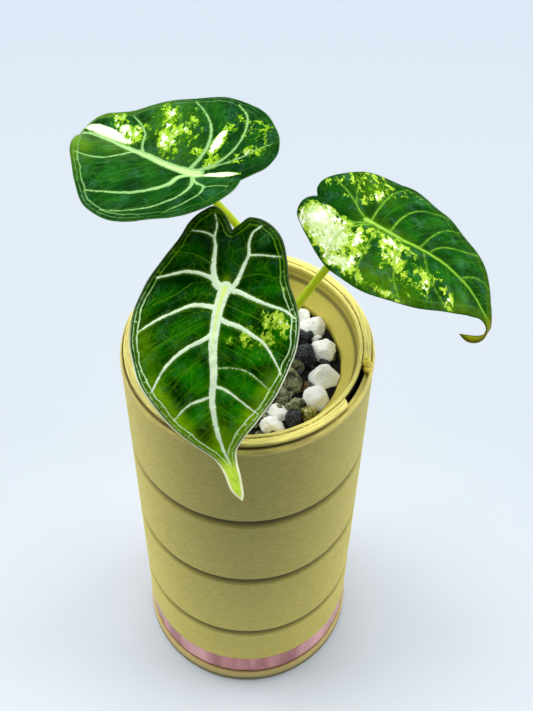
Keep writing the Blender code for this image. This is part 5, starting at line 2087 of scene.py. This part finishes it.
@dataclass
class Studio:
    """Camera, soft lights and the pale floor, with the camera's place in metres and angles in radians."""

    lens: float = 59.19
    sensor: float = 36.0
    floor_half: float = 2.5
    place: tuple[float, float, float] = (0.0, -0.26704, 0.53748)
    yaw: float = 0.0264
    pitch: float = 0.9125
    roll: float = 0.0190

    @staticmethod
    def put(name: str, data: bpy.types.ID) -> bpy.types.Object:
        """Add an object to the scene.

        Args:
            name: its name.
            data: its mesh, light or camera.

        Returns:
            The object.
        """
        item = bpy.data.objects.new(name, data)
        bpy.context.scene.collection.objects.link(item)
        return item

    def camera(self) -> None:
        """Set the camera to the photograph's angle."""
        data = bpy.data.cameras.new("camera")
        data.lens = self.lens
        data.sensor_width = self.sensor
        data.clip_start = 0.01
        ahead = Vector((math.sin(self.yaw) * math.cos(self.pitch),
                        math.cos(self.yaw) * math.cos(self.pitch), -math.sin(self.pitch)))
        right = Vector((math.cos(self.yaw), -math.sin(self.yaw), 0.0))
        above = right.cross(ahead)
        side = right * math.cos(self.roll) + above * math.sin(self.roll)
        top = above * math.cos(self.roll) - right * math.sin(self.roll)
        turn = Matrix((side, top, -ahead)).transposed().to_4x4()
        item = self.put("camera", data)
        item.matrix_world = Matrix.Translation(self.place) @ turn
        bpy.context.scene.camera = item

    def light(self, name: str, towards: Sequence[float], spread: float, power: float,
              tone: Sequence[float]) -> None:
        """A far, wide light from one side of the room.

        Args:
            name: the light's name.
            towards: direction from the pot to the light.
            spread: width of the light as seen from the pot, in degrees.
            power: strength in watts for each square metre.
            tone: its linear colour, 0 to 1.
        """
        data = bpy.data.lights.new(name, "SUN")
        data.angle = math.radians(spread)
        data.energy = power
        data.color = tone
        self.put(name, data).rotation_euler = Vector(towards).to_track_quat("Z", "Y").to_euler()

    def card(self, place: Sequence[float], size: tuple[float, float], power: float) -> None:
        """A low reflector in front, that lights the lower part of the pot.

        Args:
            place: its middle, in metres.
            size: its width and height, in metres.
            power: strength in watts.
        """
        data = bpy.data.lights.new("reflector", "AREA")
        data.shape = "RECTANGLE"
        data.size, data.size_y = size
        data.energy = power
        item = self.put("reflector", data)
        item.location = place
        item.rotation_euler = (math.radians(90.0), 0.0, 0.0)
        item.visible_camera = False

    def floor(self) -> None:
        """A wide pale floor under the pot."""
        mesh = bpy.data.meshes.new("floor")
        half = self.floor_half
        mesh.from_pydata([(-half, -half, 0.0), (half, -half, 0.0), (half, half, 0.0), (-half, half, 0.0)],
                         [], [(0, 1, 2, 3)])
        mesh.materials.append(PaleFloor().make())
        self.put("floor", mesh)

    def world(self) -> None:
        """Slightly blue light from all round, weak on the side of the camera."""
        world = bpy.data.worlds.new("sky")
        world.use_nodes = True
        tree = world.node_tree
        back = tree.nodes["Background"]
        back.inputs["Color"].default_value = (0.86, 0.93, 1.0, 1.0)
        parts = tree.nodes.new("ShaderNodeSeparateXYZ")
        tree.links.new(tree.nodes.new("ShaderNodeTexCoord").outputs["Generated"], parts.inputs[0])
        side = tree.nodes.new("ShaderNodeMapRange")
        for name, value in (("From Min", -0.75), ("From Max", 0.25), ("To Min", 0.02), ("To Max", 0.8)):
            side.inputs[name].default_value = value
        tree.links.new(parts.outputs["Y"], side.inputs["Value"])
        tree.links.new(side.outputs["Result"], back.inputs["Strength"])
        bpy.context.scene.world = world

    def build(self) -> None:
        """Set up everything round the object."""
        self.camera()
        self.floor()
        self.world()
        self.light("left_window", (-0.78, 0.2, 0.6), 46.0, 1.95, (1.0, 0.99, 0.96))
        self.light("right_window", (0.78, 0.2, 0.6), 46.0, 1.95, (1.0, 0.99, 0.96))
        self.light("ceiling", (-0.1, 0.42, 1.0), 60.0, 1.85, (1.0, 1.0, 1.0))
        self.card((0.0, -0.2, 0.016), (0.2, 0.03), 0.056)
        bpy.context.scene.view_settings.view_transform = "Standard"


def main() -> None:
    """Build the looks of the potted plant and the studio round it."""
    logging.basicConfig(level=logging.INFO, format="%(name)s: %(message)s")
    Planter("planter").build()
    Cup("cup").build()
    Bed("bed").build()
    Crown("crown_looks").build()
    for leaf in LEAVES:
        Stalk(f"stalk_of_{leaf.name}", leaf).build()
        Blade(f"leaf_of_{leaf.name}", leaf).build()
    Studio().build()


if __name__ == "__main__":
    main()
